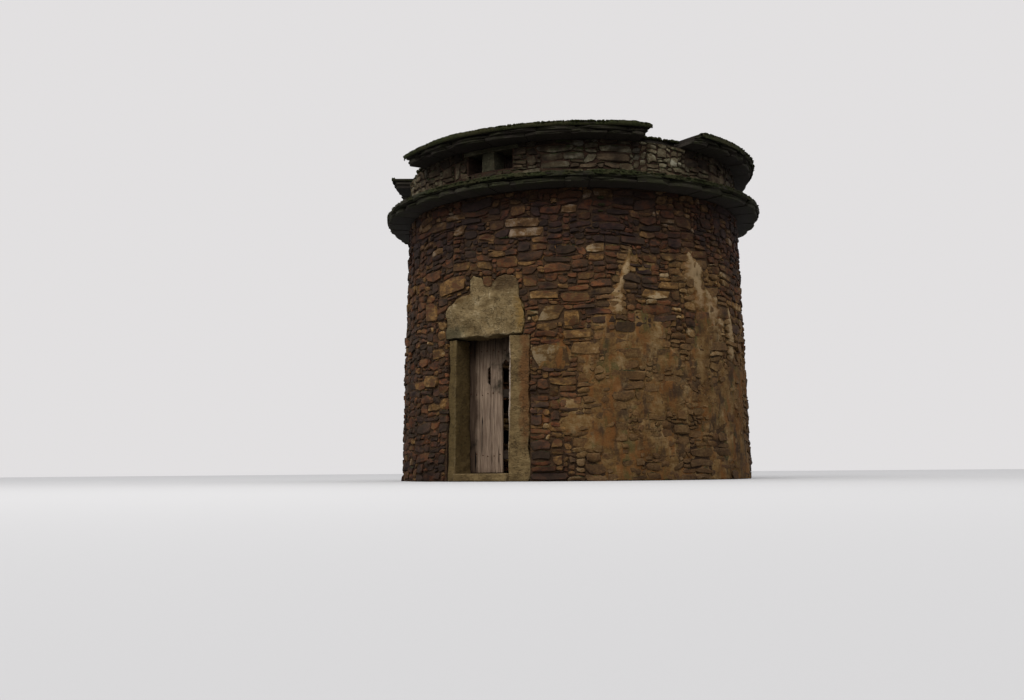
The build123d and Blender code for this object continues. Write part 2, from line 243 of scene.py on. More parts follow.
class Recipe:
    """A shader tree as it is put together, with the colour that its coats build up."""

    def __init__(self, tree, material=None):
        self.tree = tree
        self.material = material
        self.colour = None

    def node(self, kind, settings=None, **inputs):
        """The outputs of a new node, by name. Inputs are named with _ for a space."""
        made = self.tree.nodes.new(kind)
        for key, value in (settings or {}).items():
            setattr(made, key, value)
        for key, value in inputs.items():
            plug(made.inputs[key.replace("_", " ")], value)
        return {socket.name: Value(socket) for socket in made.outputs}

    def group(self, name, **inputs):
        """The outputs of a shared effect, placed with its own values."""
        return self.node("ShaderNodeGroup", {"node_tree": GROUPS[name]}, **inputs)

    def attribute(self, name):
        """The outputs of a piece's own attribute."""
        return self.node("ShaderNodeAttribute", {"attribute_name": name})

    def point(self):
        """Object coordinates."""
        return self.node("ShaderNodeTexCoord")["Object"]

    def part(self, vector, axis):
        """One axis of a vector."""
        return self.node("ShaderNodeSeparateXYZ", Vector=vector)[axis]

    def vector(self, operation, first, second=(0, 0, 0)):
        """The outputs of a Vector Math node."""
        made = self.tree.nodes.new("ShaderNodeVectorMath")
        made.operation = operation
        plug(made.inputs[0], first)
        plug(made.inputs[1], second)
        return {socket.name: Value(socket) for socket in made.outputs}

    def speckle(self, scale, detail=5.0, rough=0.6, stretch=(1, 1, 1), point=None):
        """Noise at a scale, drawn out along the axes."""
        placed = self.node("ShaderNodeMapping", Vector=point or self.point(), Scale=stretch)
        inputs = {"Scale": scale, "Detail": detail, "Roughness": rough}
        return self.node("ShaderNodeTexNoise", Vector=placed["Vector"], **inputs)["Fac"]

    def palette(self, value, stops):
        """A colour ramp with (position, colour) stops."""
        made = self.tree.nodes.new("ShaderNodeValToRGB")
        plug(made.inputs[0], value)
        ramp_stops = made.color_ramp.elements
        while len(ramp_stops) < len(stops):
            ramp_stops.new(0.5)
        for element, (position, colour) in zip(ramp_stops, stops):
            element.position = position
            element.color = (*colour, 1)
        return Value(made.outputs[0])

    def paint(self, value, stops):
        """Starts the colour with a colour ramp."""
        self.colour = self.palette(value, stops)

    def coat(self, share, colour, how="MIX"):
        """Lays a colour over what is there, as far as the share says."""
        made = self.tree.nodes.new("ShaderNodeMix")
        made.data_type = "RGBA"
        made.blend_type = how
        for number, value in ((0, share), (6, self.colour), (7, colour)):
            plug(made.inputs[number], value)
        self.colour = Value(made.outputs[2])

    def moss_colour(self):
        """Moss, from dark to bright."""
        return self.palette(self.speckle(45, 5, 0.7), MOSS_TONES)

    def seen(self):
        """1 to the rays that show the background, 0 to the light that it throws."""
        rays = self.node("ShaderNodeLightPath")
        mirrored = rays["Is Camera Ray"].or_more(rays["Is Glossy Ray"])
        return mirrored.or_more(rays["Is Transmission Ray"])

    def finish(self, relief, rough, depth, strength, metal=0.0):
        """Ends a material: colour and relief into the shader."""
        shader = self.tree.nodes["Principled BSDF"]
        bump = self.node("ShaderNodeBump", Height=relief, Strength=strength, Distance=depth)
        plug(shader.inputs["Base Color"], self.colour)
        plug(shader.inputs["Normal"], bump["Normal"])
        shader.inputs["Roughness"].default_value = rough
        shader.inputs["Metallic"].default_value = metal
        shader.inputs["Specular IOR Level"].default_value = 0.1
        return self.material


def new_group(name, **inputs):
    """A recipe for a shared effect with number inputs, and those inputs by name."""
    mix = Recipe(bpy.data.node_groups.new(name, "ShaderNodeTree"))
    for title, default in inputs.items():
        socket = mix.tree.interface.new_socket(title, in_out="INPUT", socket_type="NodeSocketFloat")
        socket.default_value = default
    return mix, mix.node("NodeGroupInput")


def end_group(mix, **results):
    """Gives a shared effect its outputs."""
    for title in results:
        mix.tree.interface.new_socket(title, in_out="OUTPUT", socket_type="NodeSocketFloat")
    mix.node("NodeGroupOutput", **results)
    return mix.tree


def mottling_group():
    """Broad and fine mottling, and a relief to go with them."""
    mix, given = new_group("mottling", Size=1.0)
    scale = {"operation": "SCALE"}
    scaled = mix.node("ShaderNodeVectorMath", scale, Vector=mix.point(), Scale=given["Size"])
    point = scaled["Vector"]
    broad = mix.speckle(3.2, 4, 0.6, point=point)
    patch = mix.speckle(8.5, 5, 0.66, (0.75, 0.75, 1.5), point)
    fine = mix.speckle(38, 6, 0.68, point=point)
    beds = mix.speckle(22, 5, 0.62, (0.7, 0.7, 4.2), point)
    return end_group(
        mix,
        Broad=broad.between(0.36, 0.66),
        Patch=patch.between(0.33, 0.67),
        Fine=fine.between(0.32, 0.68),
        Relief=fine * 0.55 + beds * 0.45,
    )


def growth_group():
    """Where moss sits on ledges and lichen spots the faces."""
    mix, given = new_group("growth", Moss=0.5, Lichen=0.3)
    upward = mix.part(mix.node("ShaderNodeNewGeometry")["Normal"], "Z")
    ledge = upward * 0.5 + mix.speckle(5.5, 6, 0.65)
    moss = (ledge - (1.25 - given["Moss"])).between(-0.02, 0.1)
    spots = mix.node("ShaderNodeTexVoronoi", Vector=mix.point(), Scale=21.0)["Distance"]
    ragged = spots + mix.speckle(60, 4) * 0.5
    patches = given["Lichen"] * mix.speckle(2.3, 3)
    return end_group(mix, Moss=moss, Lichen=(patches * 1.6 - ragged).between(-0.16, 0.02))


def shade_and_damp_group():
    """Darkening in ragged streaks: painted shade with some moisture below an eave, and moisture
    rising from the ground.
    """
    mix, given = new_group("shade_and_damp", Strength=1.0, Eave=EAVE, Band=1.1)
    height = mix.part(mix.point(), "Z")
    streaks = mix.speckle(3.5, 5, 0.6, (1.6, 1.6, 0.35)) - 0.5
    hung = height + streaks * (given["Band"] * 1.5)
    # Below the eave: painted shade of the ring, with some moisture.
    under_eave = hung.between(given["Eave"] - given["Band"], given["Eave"])
    foot = (height + streaks * 1.6).between(0.75, 0.0)
    return end_group(mix, Damp=under_eave.or_more(foot * 0.6) * given["Strength"])


def wear_group():
    """Worn, paler edges, and a mask of the hollows, which are made darker."""
    mix, given = new_group("edge_wear", Amount=1.0)
    ragged = (mix.speckle(30) - 0.5) * 0.06
    edge = mix.node("ShaderNodeNewGeometry")["Pointiness"] + ragged
    worn, sunken = edge.between(0.52, 0.6), edge.between(0.5, 0.42)
    return end_group(mix, Worn=worn * given["Amount"], Dirty=sunken * given["Amount"])


GROUPS = {
    "mottling": mottling_group(),
    "growth": growth_group(),
    "shade_and_damp": shade_and_damp_group(),
    "wear": wear_group(),
}

MOSS_TONES = [
    (0.35, (0.008, 0.0085, 0.0035)),
    (0.6, (0.028, 0.032, 0.011)),
    (0.76, (0.078, 0.086, 0.03)),
]
LICHEN = (0.3, 0.27, 0.18)
# Tint of the painted shade and moisture below the eaves, and of the moisture at the foot.
SHADE_AND_DAMP_TINT = (0.33, 0.33, 0.54)
STONE_TONES = [
    (0.0, (0.0138, 0.0087, 0.0082)), (0.18, (0.0265, 0.014, 0.0114)),
    (0.36, (0.0475, 0.019, 0.0105)), (0.5, (0.09, 0.028, 0.0102)),
    (0.62, (0.066, 0.0345, 0.0138)), (0.76, (0.13, 0.0635, 0.0178)),
    (0.88, (0.166, 0.0965, 0.0352)), (1.0, (0.24, 0.175, 0.098)),
]
LIME_TONES = [
    (0.0, (0.041, 0.0232, 0.0112)), (0.25, (0.089, 0.0455, 0.016)), (0.5, (0.145, 0.08, 0.0278)),
    (0.75, (0.2, 0.126, 0.054)), (1.0, (0.29, 0.2, 0.105)),
]
# Stains of the render: the noise's scale, where it starts, and the colour
LIME_STAINS = [
    (3.4, 0.46, (0.145, 0.058, 0.0165)),
    (4.3, 0.53, (0.07, 0.058, 0.02)),
    (3.7, 0.5, (0.036, 0.0215, 0.0135)),
]
UPPER_TONES = [
    (0.0, (0.02, 0.0155, 0.012)), (0.3, (0.04, 0.03, 0.02)), (0.5, (0.062, 0.043, 0.026)),
    (0.7, (0.09, 0.077, 0.047)), (0.88, (0.14, 0.127, 0.083)), (1.0, (0.21, 0.2, 0.15)),
]
EARTH_TONES = [(0.0, (0.02, 0.012, 0.0075)), (1.0, (0.1, 0.056, 0.026))]
IRON_TONES = [(0.3, (0.02, 0.01, 0.007)), (0.5, (0.07, 0.025, 0.01)), (0.7, (0.13, 0.05, 0.018))]
# The painted shade and moisture below an eave: the eave's height, the depth of the darkening, its
# strength and its tint
UNDER_LOWER_RING = (EAVE - 0.42, 0.6, 0.7, SHADE_AND_DAMP_TINT)
# Under the upper ring this is mostly painted shadow of the ring.
UNDER_UPPER_RING = (WALL_HEAD + 0.06, 0.62, 1.0, (0.23, 0.22, 0.26))
INSIDE = (EAVE, 1.0, 0.3, SHADE_AND_DAMP_TINT)
SHADE_RANGE = (0.0, 1.0, 0.72, 1.28)  # of a stone's own value, and of the patches on it


def new_material(name):
    """A recipe for a new material."""
    material = bpy.data.materials.new(name)
    material.use_nodes = True
    return Recipe(material.node_tree, material)


def rubble_material(name, moss, lichen, shade, tones=STONE_TONES):
    """Rough schist blocks: tone, value, open air and lime from the piece's own attribute."""
    mix = new_material(name)
    eave, band, strength, tint = shade
    given = mix.attribute("stone_tint")
    own = mix.node("ShaderNodeSeparateColor", Color=given["Color"])
    mottle = mix.group("mottling", Size=1.0)
    growth = mix.group("growth", Moss=moss, Lichen=lichen)
    tone = own["Red"]
    for layer, amount in (("Broad", 0.22), ("Patch", 0.3), ("Fine", 0.16)):
        tone = (tone + (mottle[layer] - 0.5) * amount).held()
    mix.paint(tone, tones)
    mix.coat(
        1.0,
        own["Green"].between(*SHADE_RANGE) * mottle["Patch"].between(*SHADE_RANGE),
        "MULTIPLY",
    )
    washed = (given["Alpha"] + mix.speckle(7, 6, 0.7)).between(0.95, 1.4, 0.0, 0.75)
    mix.coat(washed, mix.palette((mottle["Fine"] + mottle["Broad"]) * 0.4, LIME_TONES))
    mix.coat(mix.group("wear", Amount=0.6)["Worn"] * 0.3, (0.17, 0.11, 0.055))
    mix.coat(growth["Lichen"] * 0.6, LICHEN)
    # Painted shade and moisture below the eave, left off where the upper ring has broken away.
    shade_and_damp = mix.group("shade_and_damp", Strength=strength, Eave=eave, Band=band)["Damp"]
    mix.coat(shade_and_damp * (1.0 - own["Blue"]), tint, "MULTIPLY")
    mix.coat(growth["Moss"], mix.moss_colour())
    return mix.finish(mottle["Relief"], 0.92, 0.014, 0.9)


def earth_material():
    """Earth mortar between the stones."""
    mix = new_material("earth_mortar")
    mottle = mix.group("mottling", Size=1.6)
    mix.paint((mottle["Fine"] + mottle["Patch"]) * 0.5, EARTH_TONES)
    # Painted shade and moisture under the lower ring, as on the stones.
    mix.coat(mix.group("shade_and_damp", Strength=0.7)["Damp"], SHADE_AND_DAMP_TINT, "MULTIPLY")
    return mix.finish(mottle["Relief"], 0.95, 0.015, 0.9)


def slate_material(name, tones, moss):
    """Slate slabs, nearly black, with green growth and a tone for each slab."""
    mix = new_material(name)
    mottle = mix.group("mottling", Size=1.0)
    growth = mix.group("growth", Moss=moss, Lichen=0.2)
    tone = mix.attribute("slab_tint")["Fac"] * 0.6 + mottle["Fine"] * 0.45
    mix.paint(tone.held(), tones)
    mix.coat(mix.group("wear", Amount=1.0)["Worn"] * 0.4, (0.05, 0.045, 0.033))
    mix.coat(mottle["Broad"] * 0.4, (0.015, 0.014, 0.009))
    mix.coat(growth["Lichen"] * 0.6, (0.14, 0.14, 0.1))
    # Moss also creeps in from the outer edge of the rings.
    level = mix.vector("MULTIPLY", mix.point(), (1, 1, 0))["Vector"]
    ragged = (mix.speckle(7, 6, 0.7) - 0.5) * 0.8
    rim = (mix.vector("LENGTH", level)["Value"] + ragged).between(2.5, 2.7, 0.0, 0.6)
    mix.coat(rim.or_more(growth["Moss"]), mix.moss_colour())
    return mix.finish(mottle["Relief"], 0.88, 0.01, 0.7)


def moss_material():
    """Moss cushions."""
    mix = new_material("moss")
    mix.colour = mix.moss_colour()
    mix.coat(mix.speckle(4, 4).between(0.4, 0.62), (0.03, 0.028, 0.012))
    return mix.finish(mix.speckle(130, 4, 0.75), 1.0, 0.012, 1.0)


def pale_stone_material(name, tones, lichen=0.25, blotches=()):
    """Weathered pale stone. A blotch is a place, a reach, a colour and how ragged it is. Most are
    stains; on the jambs one is a painted highlight and one holds painted shade.
    """
    mix = new_material(name)
    mottle = mix.group("mottling", Size=1.0)
    growth = mix.group("growth", Moss=0.12, Lichen=lichen)
    wear = mix.group("wear", Amount=1.0)
    spread = (mottle["Fine"] - 0.5) * 0.2 + (mottle["Patch"] - 0.5) * 0.3
    mix.paint((mix.speckle(5, 6, 0.64) * 1.3 - 0.15 + spread).held(), tones)
    # Stains, and on the jambs a painted highlight and painted shade.
    for place, reach, mark_colour, ragged in blotches:
        offset = mix.vector("SUBTRACT", mix.point(), place)["Vector"]
        away = mix.vector("LENGTH", mix.vector("DIVIDE", offset, reach)["Vector"])["Value"]
        blotch = away + mix.speckle(14, 5, 0.65) * ragged
        mix.coat(blotch.between(1.15 + ragged / 2, 0.45 + ragged / 2), mark_colour)
    cracks = (mix.speckle(3.1, 4, 0.7) - 0.5).maths("ABSOLUTE").between(0.012, 0.003)
    pits = mix.speckle(26, 3, 0.5).between(0.34, 0.3).or_more(cracks * 0.8)
    mix.coat(pits * 0.6, (0.045, 0.03, 0.016))
    mix.coat(wear["Worn"] * 0.3, (0.3, 0.24, 0.15))
    mix.coat(wear["Dirty"] * 0.6, (0.04, 0.03, 0.018))
    mix.coat(growth["Lichen"] * 0.55, (0.36, 0.31, 0.2))
    mix.coat(growth["Moss"], mix.moss_colour())
    relief = mottle["Relief"] - pits * 0.5 + mottle["Patch"] * 0.5
    return mix.finish(relief, 0.92, 0.018, 0.9)


def timber_material(name, pale, dark, upright=True, shade=()):
    """Weathered boards. A shade is an axis, and where along it the shade starts and is full."""
    mix = new_material(name)
    along = (1, 1, 0.045) if upright else (0.045, 1, 1)
    grain = mix.speckle(70, 5, 0.7, along)
    bands = mix.speckle(14, 4, 0.6, along)
    checks = mix.speckle(38, 3, 0.5, along).between(0.36, 0.3)
    blotches = mix.speckle(2.6, 5, 0.6)
    mix.paint(grain, [(0.3, dark), (0.7, pale)])
    mix.coat(bands * 0.55, dark)
    mix.coat(blotches.between(0.52, 0.7), (0.035, 0.028, 0.018))
    mix.coat(checks, (0.008, 0.006, 0.005))
    for axis, start, full in shade:
        wavy = mix.part(mix.point(), axis) + (blotches - 0.5) * 0.15
        mix.coat(wavy.between(start, full, 0.0, 0.8), dark, "MULTIPLY")
    return mix.finish(grain + bands * 0.8 - checks, 0.85, 0.004, 0.8)


def iron_material():
    """Rusted wrought iron."""
    mix = new_material("rusted_iron")
    fine = mix.speckle(150, 5, 0.7)
    mix.paint(mix.speckle(16, 5, 0.65), IRON_TONES)
    mix.coat(fine * 0.5, (0.03, 0.016, 0.012))
    return mix.finish(fine, 0.75, 0.002, 0.7, metal=0.35)


def lime_material():
    """Remains of a lime and earth render, brighter where the attribute says so."""
    mix = new_material("lime_render")
    bare = mix.attribute("bare_lime")["Fac"]
    mottle = mix.group("mottling", Size=1.3)
    growth = mix.group("growth", Moss=0.55, Lichen=0.2)
    runs = mix.speckle(2.6, 6, 0.62, (1.5, 1.5, 0.55)).between(0.3, 0.7)
    fresh = bare * mottle["Patch"].between(0.1, 0.9, 0.45, 1.0)
    tone = runs * 0.5 + mottle["Fine"] * 0.2 + mottle["Patch"] * 0.3 + fresh
    mix.paint(tone.held(), LIME_TONES)
    earthy = (1.0 - bare).held()
    for scale, low, mark_colour in LIME_STAINS:
        stained = mix.speckle(scale, 5, 0.65, (1.3, 1.3, 0.6)).between(low, low + 0.14, 0.0, 0.8)
        mix.coat(stained * earthy, mark_colour)
    mix.coat(growth["Lichen"] * 0.5, LICHEN)
    mix.coat(growth["Moss"], mix.moss_colour())
    return mix.finish(mottle["Relief"], 0.95, 0.014, 1.0)


PALE_TONES = [
    (0.0, (0.06, 0.038, 0.016)), (0.35, (0.15, 0.102, 0.046)), (0.65, (0.216, 0.155, 0.075)),
    (1.0, (0.42, 0.335, 0.205)),
]
JAMB_TONES = [
    (0.0, (0.045, 0.029, 0.013)), (0.4, (0.13, 0.086, 0.037)), (0.75, (0.198, 0.137, 0.061)),
    (1.0, (0.35, 0.262, 0.145)),
]
# Tones of the flight-hole stones: a darker, greener copy of the pale stone's tones, as painted
# shade under the upper ring.
MULLION_TONES = [
    (0.0, (0.016, 0.0155, 0.0095)), (0.5, (0.044, 0.04, 0.024)), (1.0, (0.115, 0.105, 0.066)),
]
SLATE_TONES = [
    (0.0, (0.014, 0.0108, 0.0092)), (0.5, (0.026, 0.0205, 0.0165)), (1.0, (0.043, 0.036, 0.028)),
]
PAVING_TONES = [
    (0.0, (0.03, 0.024, 0.017)), (0.5, (0.075, 0.06, 0.042)), (1.0, (0.16, 0.135, 0.1)),
]
GOLD = (0.19, 0.115, 0.036)
# The colour of the painted highlight on the right jamb's arris.
PAINTED_HIGHLIGHT_PINK_GREY = (0.4, 0.32, 0.26)
DOOR_FACE = -TOP_RADIUS  # of the wall round the doorway, along Y
LINTEL_STAINS = [
    ((0.64, DOOR_FACE, 2.12), (0.17, 0.6, 0.42), GOLD, 1.8),
    ((0.42, DOOR_FACE, 2.52), (0.42, 0.6, 0.2), (0.08, 0.05, 0.023), 1.4),
    ((-0.45, DOOR_FACE, 2.36), (0.35, 0.6, 0.12), (0.115, 0.07, 0.027), 1.4),
    ((-0.5, DOOR_FACE, 1.86), (0.3, 0.6, 0.14), (0.085, 0.068, 0.035), 1.4),
]
JAMB_STAINS_AND_PAINTED_LIGHT = [
    # A painted highlight down the arris of the right jamb.
    ((HALF_DOORWAY, DOOR_FACE - 0.04, 1.2), (0.03, 0.09, 0.8), PAINTED_HIGHLIGHT_PINK_GREY, 0.7),
    ((HALF_DOORWAY + 0.22, DOOR_FACE, 1.25), (0.1, 0.3, 0.9), (0.12, 0.058, 0.022), 1.6),
    # The left jamb's darker colour, with painted shade in the left reveal.
    ((-HALF_DOORWAY - 0.1, DOOR_FACE, 1.0), (0.35, 0.7, 1.3), (0.1, 0.068, 0.027), 0.8),
]
# Painted shade on the door along its top, under the lintel, and along both edges, by the jambs.
DOOR_SHADE = [("Z", 1.4, 1.85), ("X", 0.29, 0.34), ("X", -0.26, -0.34)]
PLANK_TONES = ((0.46, 0.34, 0.238), (0.088, 0.055, 0.038))

MATERIALS = {
    "rubble": rubble_material("schist_rubble", 0.3, 0.14, UNDER_LOWER_RING),
    "upper_rubble": rubble_material("upper_rubble", 0.6, 0.2, UNDER_UPPER_RING, UPPER_TONES),
    "inner_rubble": rubble_material("inner_rubble", 0.22, 0.1, INSIDE),
    "earth": earth_material(),
    "slate": slate_material("mossy_slate", SLATE_TONES, 0.24),
    "paving": slate_material("paving", PAVING_TONES, 0.1),
    "moss": moss_material(),
    "lintel": pale_stone_material("pale_lintel_stone", PALE_TONES, 0.3, LINTEL_STAINS),
    "jamb": pale_stone_material("jamb_stone", JAMB_TONES, 0.15, JAMB_STAINS_AND_PAINTED_LIGHT),
    "mullion": pale_stone_material("flight_hole_stone", MULLION_TONES, 0.1),
    "plank": timber_material("old_planks", *PLANK_TONES, shade=DOOR_SHADE),
    # The ledges are toned darker than the planks, as painted shade behind the door.
    "ledge": timber_material("old_ledges", (0.06, 0.043, 0.03), (0.018, 0.012, 0.009), False),
    "beam": timber_material("old_beam", (0.1, 0.07, 0.045), (0.03, 0.02, 0.013), False),
    "iron": iron_material(),
    "lime": lime_material(),
}


# Rubble stones

class Grid:
    """Cells laid over a round wall, and which of them are free for stones."""

    def __init__(self, size, radius, low, high):
        self.radius, self.low, self.high = radius, low, high
        self.columns = round(math.tau * radius / size[0])
        self.rows = round((high - low) / size[1])
        self.cell = np.array([math.tau * radius / self.columns, (high - low) / self.rows])
        angle = (np.arange(self.columns) + 0.5) * self.cell[0] / radius
        height = low + (np.arange(self.rows) + 0.5) * self.cell[1]
        self.bearing, self.height = np.meshgrid(np.degrees(angle), height, indexing="ij")
        self.x = across(self.bearing, radius)
        self.free = np.ones(self.x.shape, bool)

    def block(self, left, right, bottom, top=math.inf):
        """Keeps stones out of a rectangle near the door."""
        wide = (self.x > left) & (self.x < right)
        self.free &= ~(wide & (self.height > bottom) & (self.height < top))

    def column(self, bearing):
        """The column that a bearing falls in."""
        return round(math.radians(bearing % FULL_TURN) * self.radius / self.cell[0])

    def place(self, noted):
        """Noted stones as cells of the grid: column, row, width, height and tone."""
        placed = []
        for turn, bottom, wide, tall, tone in noted:
            row = round((bottom - self.low) / self.cell[1])
            width, height = (max(round(size), 1) for size in (wide, tall) / self.cell)
            placed.append((self.column(turn), row, width, height, tone))
        return placed


def turned(bearing):
    """A bearing, counted from -180 to 180."""
    return (bearing + 180) % FULL_TURN - 180


def across(bearing, radius):
    """Distance along X of a bearing near the door, or far off elsewhere."""
    turn = turned(bearing)
    return np.where(np.abs(turn) < 60, radius * np.sin(np.radians(turn)), 9.0)


def inside_outline(x, z, outline):
    """Whether points lie inside an outline of (x, z) corners."""
    inside = np.zeros(x.shape, bool)
    for (x1, z1), (x2, z2) in zip(outline, outline[1:] + outline[:1]):
        crosses = (z1 > z) != (z2 > z)
        meet = (x2 - x1) * (z - z1) / (z2 - z1 + 1e-12) + x1
        inside ^= crosses & (x < meet)
    return inside


def stone_template(segments):
    """One block: a front grid from -1 to 1 along X and Z, closed behind at Y = 1."""
    shape = bmesh.new()
    bmesh.ops.create_grid(shape, x_segments=segments, y_segments=segments, size=1.0)
    bmesh.ops.rotate(shape, verts=shape.verts, matrix=Matrix.Rotation(math.pi / 2, 3, "X"))
    rim = [edge for edge in shape.edges if edge.is_boundary]
    grown = bmesh.ops.extrude_edge_only(shape, edges=rim)["geom"]
    behind = [item for item in grown if isinstance(item, bmesh.types.BMVert)]
    bmesh.ops.translate(shape, verts=behind, vec=(0, 1, 0))
    bmesh.ops.holes_fill(shape, edges=[edge for edge in shape.edges if edge.is_boundary])
    bmesh.ops.recalc_face_normals(shape, faces=shape.faces)
    return to_mesh(shape, "stone_template")


def template_points(mesh):
    """The template's corner places as an array."""
    points = np.empty(len(mesh.vertices) * 3)
    mesh.vertices.foreach_get("co", points)
    return points.reshape(-1, 3)


def lay_stones(grid, seed, sizes, chosen):
    """Fills the free cells with blocks. Returns (column, row, width, height, tone)."""
    rng = random.Random(seed)
    free, columns, (cell_width, cell_height) = grid.free, grid.columns, grid.cell
    joints = np.zeros((columns, grid.rows + 1), bool)
    laid = []

    def area(column, row, width, height):
        return np.arange(column, column + width) % columns, slice(row, row + height)

    def lay(column, row, width, height, tone):
        free[area(column, row, width, height)] = False
        joints[column, row : row + height] = True
        joints[(column + width) % columns, row : row + height] = True
        laid.append((column, row, width, height, tone))

    def fits(*place):
        return place[1] + place[3] <= grid.rows and free[area(*place)].all()

    def off_joints(end, row):
        below = joints[np.arange(end - 1, end + 2) % columns, row - 1]
        return not below.any()

    for stone in chosen:
        if fits(*stone[:4]):
            lay(*stone)
    for row in range(grid.rows):
        start = rng.randrange(columns)
        for step in range(columns):
            column = (start + step) % columns
            if not free[column, row]:
                continue
            height = rng.choices(range(1, 1 + len(sizes["heights"])), sizes["heights"])[0]
            while height > 1 and not fits(column, row, 1, height):
                height -= 1
            length = height * cell_height * rng.uniform(*sizes["slimness"])
            wanted = round(min(max(length, sizes["shortest"]), sizes["longest"]) / cell_width)
            # A stone doesn't end right over a joint of the course below.
            for shift in (0, 1, 2, -1, 3, -2):
                if wanted + shift > 1 and off_joints(column + wanted + shift, row):
                    wanted += shift
                    break
            width = 1
            while width < wanted and fits(column, row, width + 1, height):
                width += 1
            # A stone two cells from the next one takes up the gap.
            while (
                width < wanted + 2
                and fits(column, row, width + 1, height)
                and not fits(column, row, width + 2, 1)
            ):
                width += 1
            while height > 1 and width * cell_width < 0.85 * height * cell_height:
                height -= 1
            lay(column, row, width, height, None)
    return laid


def stone_shapes(grid, stones, points, outward, look):
    """The places of every corner of every block, on the round wall, and its tint."""
    rng = np.random.default_rng(look["seed"])
    count = len(stones)
    plan = np.array([stone[:4] for stone in stones], float)
    mean_radius = grid.columns * grid.cell[0] / math.tau

    def each(draw, *limits):
        """A random number for each block."""
        return draw(*limits, (count, 1))

    half = plan[:, 2:] * grid.cell / 2 - look["joint"] * each(rng.uniform, 0.5, 1.3)
    half = np.maximum(half, 0.006)
    half_height = half[:, 1:2]
    middle = (plan[:, :2] + plan[:, 2:] / 2) * grid.cell
    inset = np.minimum(0.3 * half, look["round"])
    spots = points[:, [0, 2]]
    steps = np.abs(spots)
    wide = np.empty((count, len(points), 2))
    for axis in range(2):
        share = np.interp(steps[:, axis], [0, 0.5, 1], [0, 0, 1])
        inner = np.minimum(steps[:, axis] / 0.5, 1)
        limit, gap = half[:, axis : axis + 1], inset[:, axis : axis + 1]
        wide[:, :, axis] = np.sign(spots[:, axis]) * (inner * (limit - gap) + share * gap)
    x, z = wide[:, :, 0], wide[:, :, 1]
    # Corners are knocked off and each outline is skewed.
    for u in (-1, 1):
        for v in (-1, 1):
            weight = ((1 + u * spots[:, 0]) * (1 + v * spots[:, 1]) / 4) ** 2
            knock = each(rng.beta, 1.0, 2.2) * look["knock"] * half_height
            x -= u * weight * knock * each(rng.uniform, 0.6, 1.6)
            z -= v * weight * knock * 0.8
    # Outlines are partly rounded, and arched or sagging.
    share = wide / half[:, None, :]
    rounding = each(rng.uniform, *look["rounding"]) * np.clip(0.05 / half_height, 0.3, 1)
    x *= np.sqrt(np.maximum(1 - rounding * share[:, :, 1] ** 2 / 2, 0.3))
    z *= np.sqrt(np.maximum(1 - rounding * share[:, :, 0] ** 2 / 2, 0.3))
    wide *= 1 + 0.1 * rounding[:, :, None]
    bow = each(rng.normal, 0, look["bow"]) * np.minimum(half_height, 0.05)
    z += bow * (share[:, :, 0] ** 2 - 0.5)
    taper = each(rng.uniform, -1, 1) * look["taper"]
    z *= 1 - np.maximum(taper * x / half[:, 0:1], 0)
    x += each(rng.normal, 0, look["slant"]) * z
    z += each(rng.normal, 0, look["lean"]) * np.clip(x, -0.09, 0.09)
    wide += rng.normal(0, 1, wide.shape) * np.minimum(look["ragged"], 0.14 * half)[:, None, :]
    # Blocks stand proud by different amounts, swell in the middle and are tilted.
    proud = each(rng.gamma, 3.0, look["proud"] / 3.0) + look["least"]
    proud = np.minimum(proud, look["most"])
    rim = (steps > 0.9).any(1)
    swell = (1 - steps[:, 0] ** 2.5) * (1 - steps[:, 1] ** 2.5)
    depth = proud + swell * np.minimum(look["swell"], 0.5 * half_height)
    depth -= rim * np.minimum(0.75 * inset[:, 1:2], proud * 0.6)
    depth += each(rng.normal, 0, look["tilt"]) * x
    depth += each(rng.normal, 0, look["tilt"] * 1.5) * z
    front = points[:, 1] < 0.5
    depth += rng.normal(0, look["rough"], depth.shape) * front
    depth = np.where(front, np.maximum(depth, 0.002), -look["embed"])
    # Courses wander, and the flat blocks go round the wall.
    angle = (middle[:, 0:1] + x) / mean_radius
    height = grid.low + middle[:, 1:2] + z
    height += look["drift"](angle, height) * look["wander"]
    height = np.clip(height, grid.low + 0.001, grid.high - 0.001)
    angle += look["sway"](angle, height) * look["wander"] / mean_radius
    radius = look["radius_at"](height) + outward * depth
    places = np.stack((radius * np.sin(angle), -radius * np.cos(angle), height), axis=2)
    # The tint holds the tone, a value, open air and lime, for the rubble's material. Open air lifts
    # the painted shade where the upper ring has broken away.
    level = grid.low + middle[:, 1]
    tone = np.array([np.nan if stone[4] is None else stone[4] for stone in stones])
    hue = look["hue"](middle[:, 0] / mean_radius, level)
    drawn = np.clip(rng.beta(1.6, 2.4, count) + HUE_SHARE * hue, 0, look["palest"])
    bearing = np.degrees(middle[:, 0] / mean_radius) % FULL_TURN
    light = rng.uniform(0, 1, count)
    tone = np.where(np.isnan(tone), drawn, tone)
    tint = (tone, light, look["open"](bearing), look["wash"](bearing, level))
    return places, np.stack(tint, axis=1), bearing


def stone_hue(seed, zones):
    """A random field with noted zones added, of an angle in radians and a height."""
    base = smooth_field(seed, 9, 3.0)

    def field(angle, height):
        total = base(angle, height)
        for bearing, level, width, tall, change in zones:
            turn = turned(np.degrees(angle) - bearing)
            fade = np.exp(-((turn / width) ** 2) - ((height - level) / tall) ** 2)
            total = total + change / HUE_SHARE * fade
        return total

    return field


HUE_SHARE = 0.22  # of a stone's tone, from the field of hues

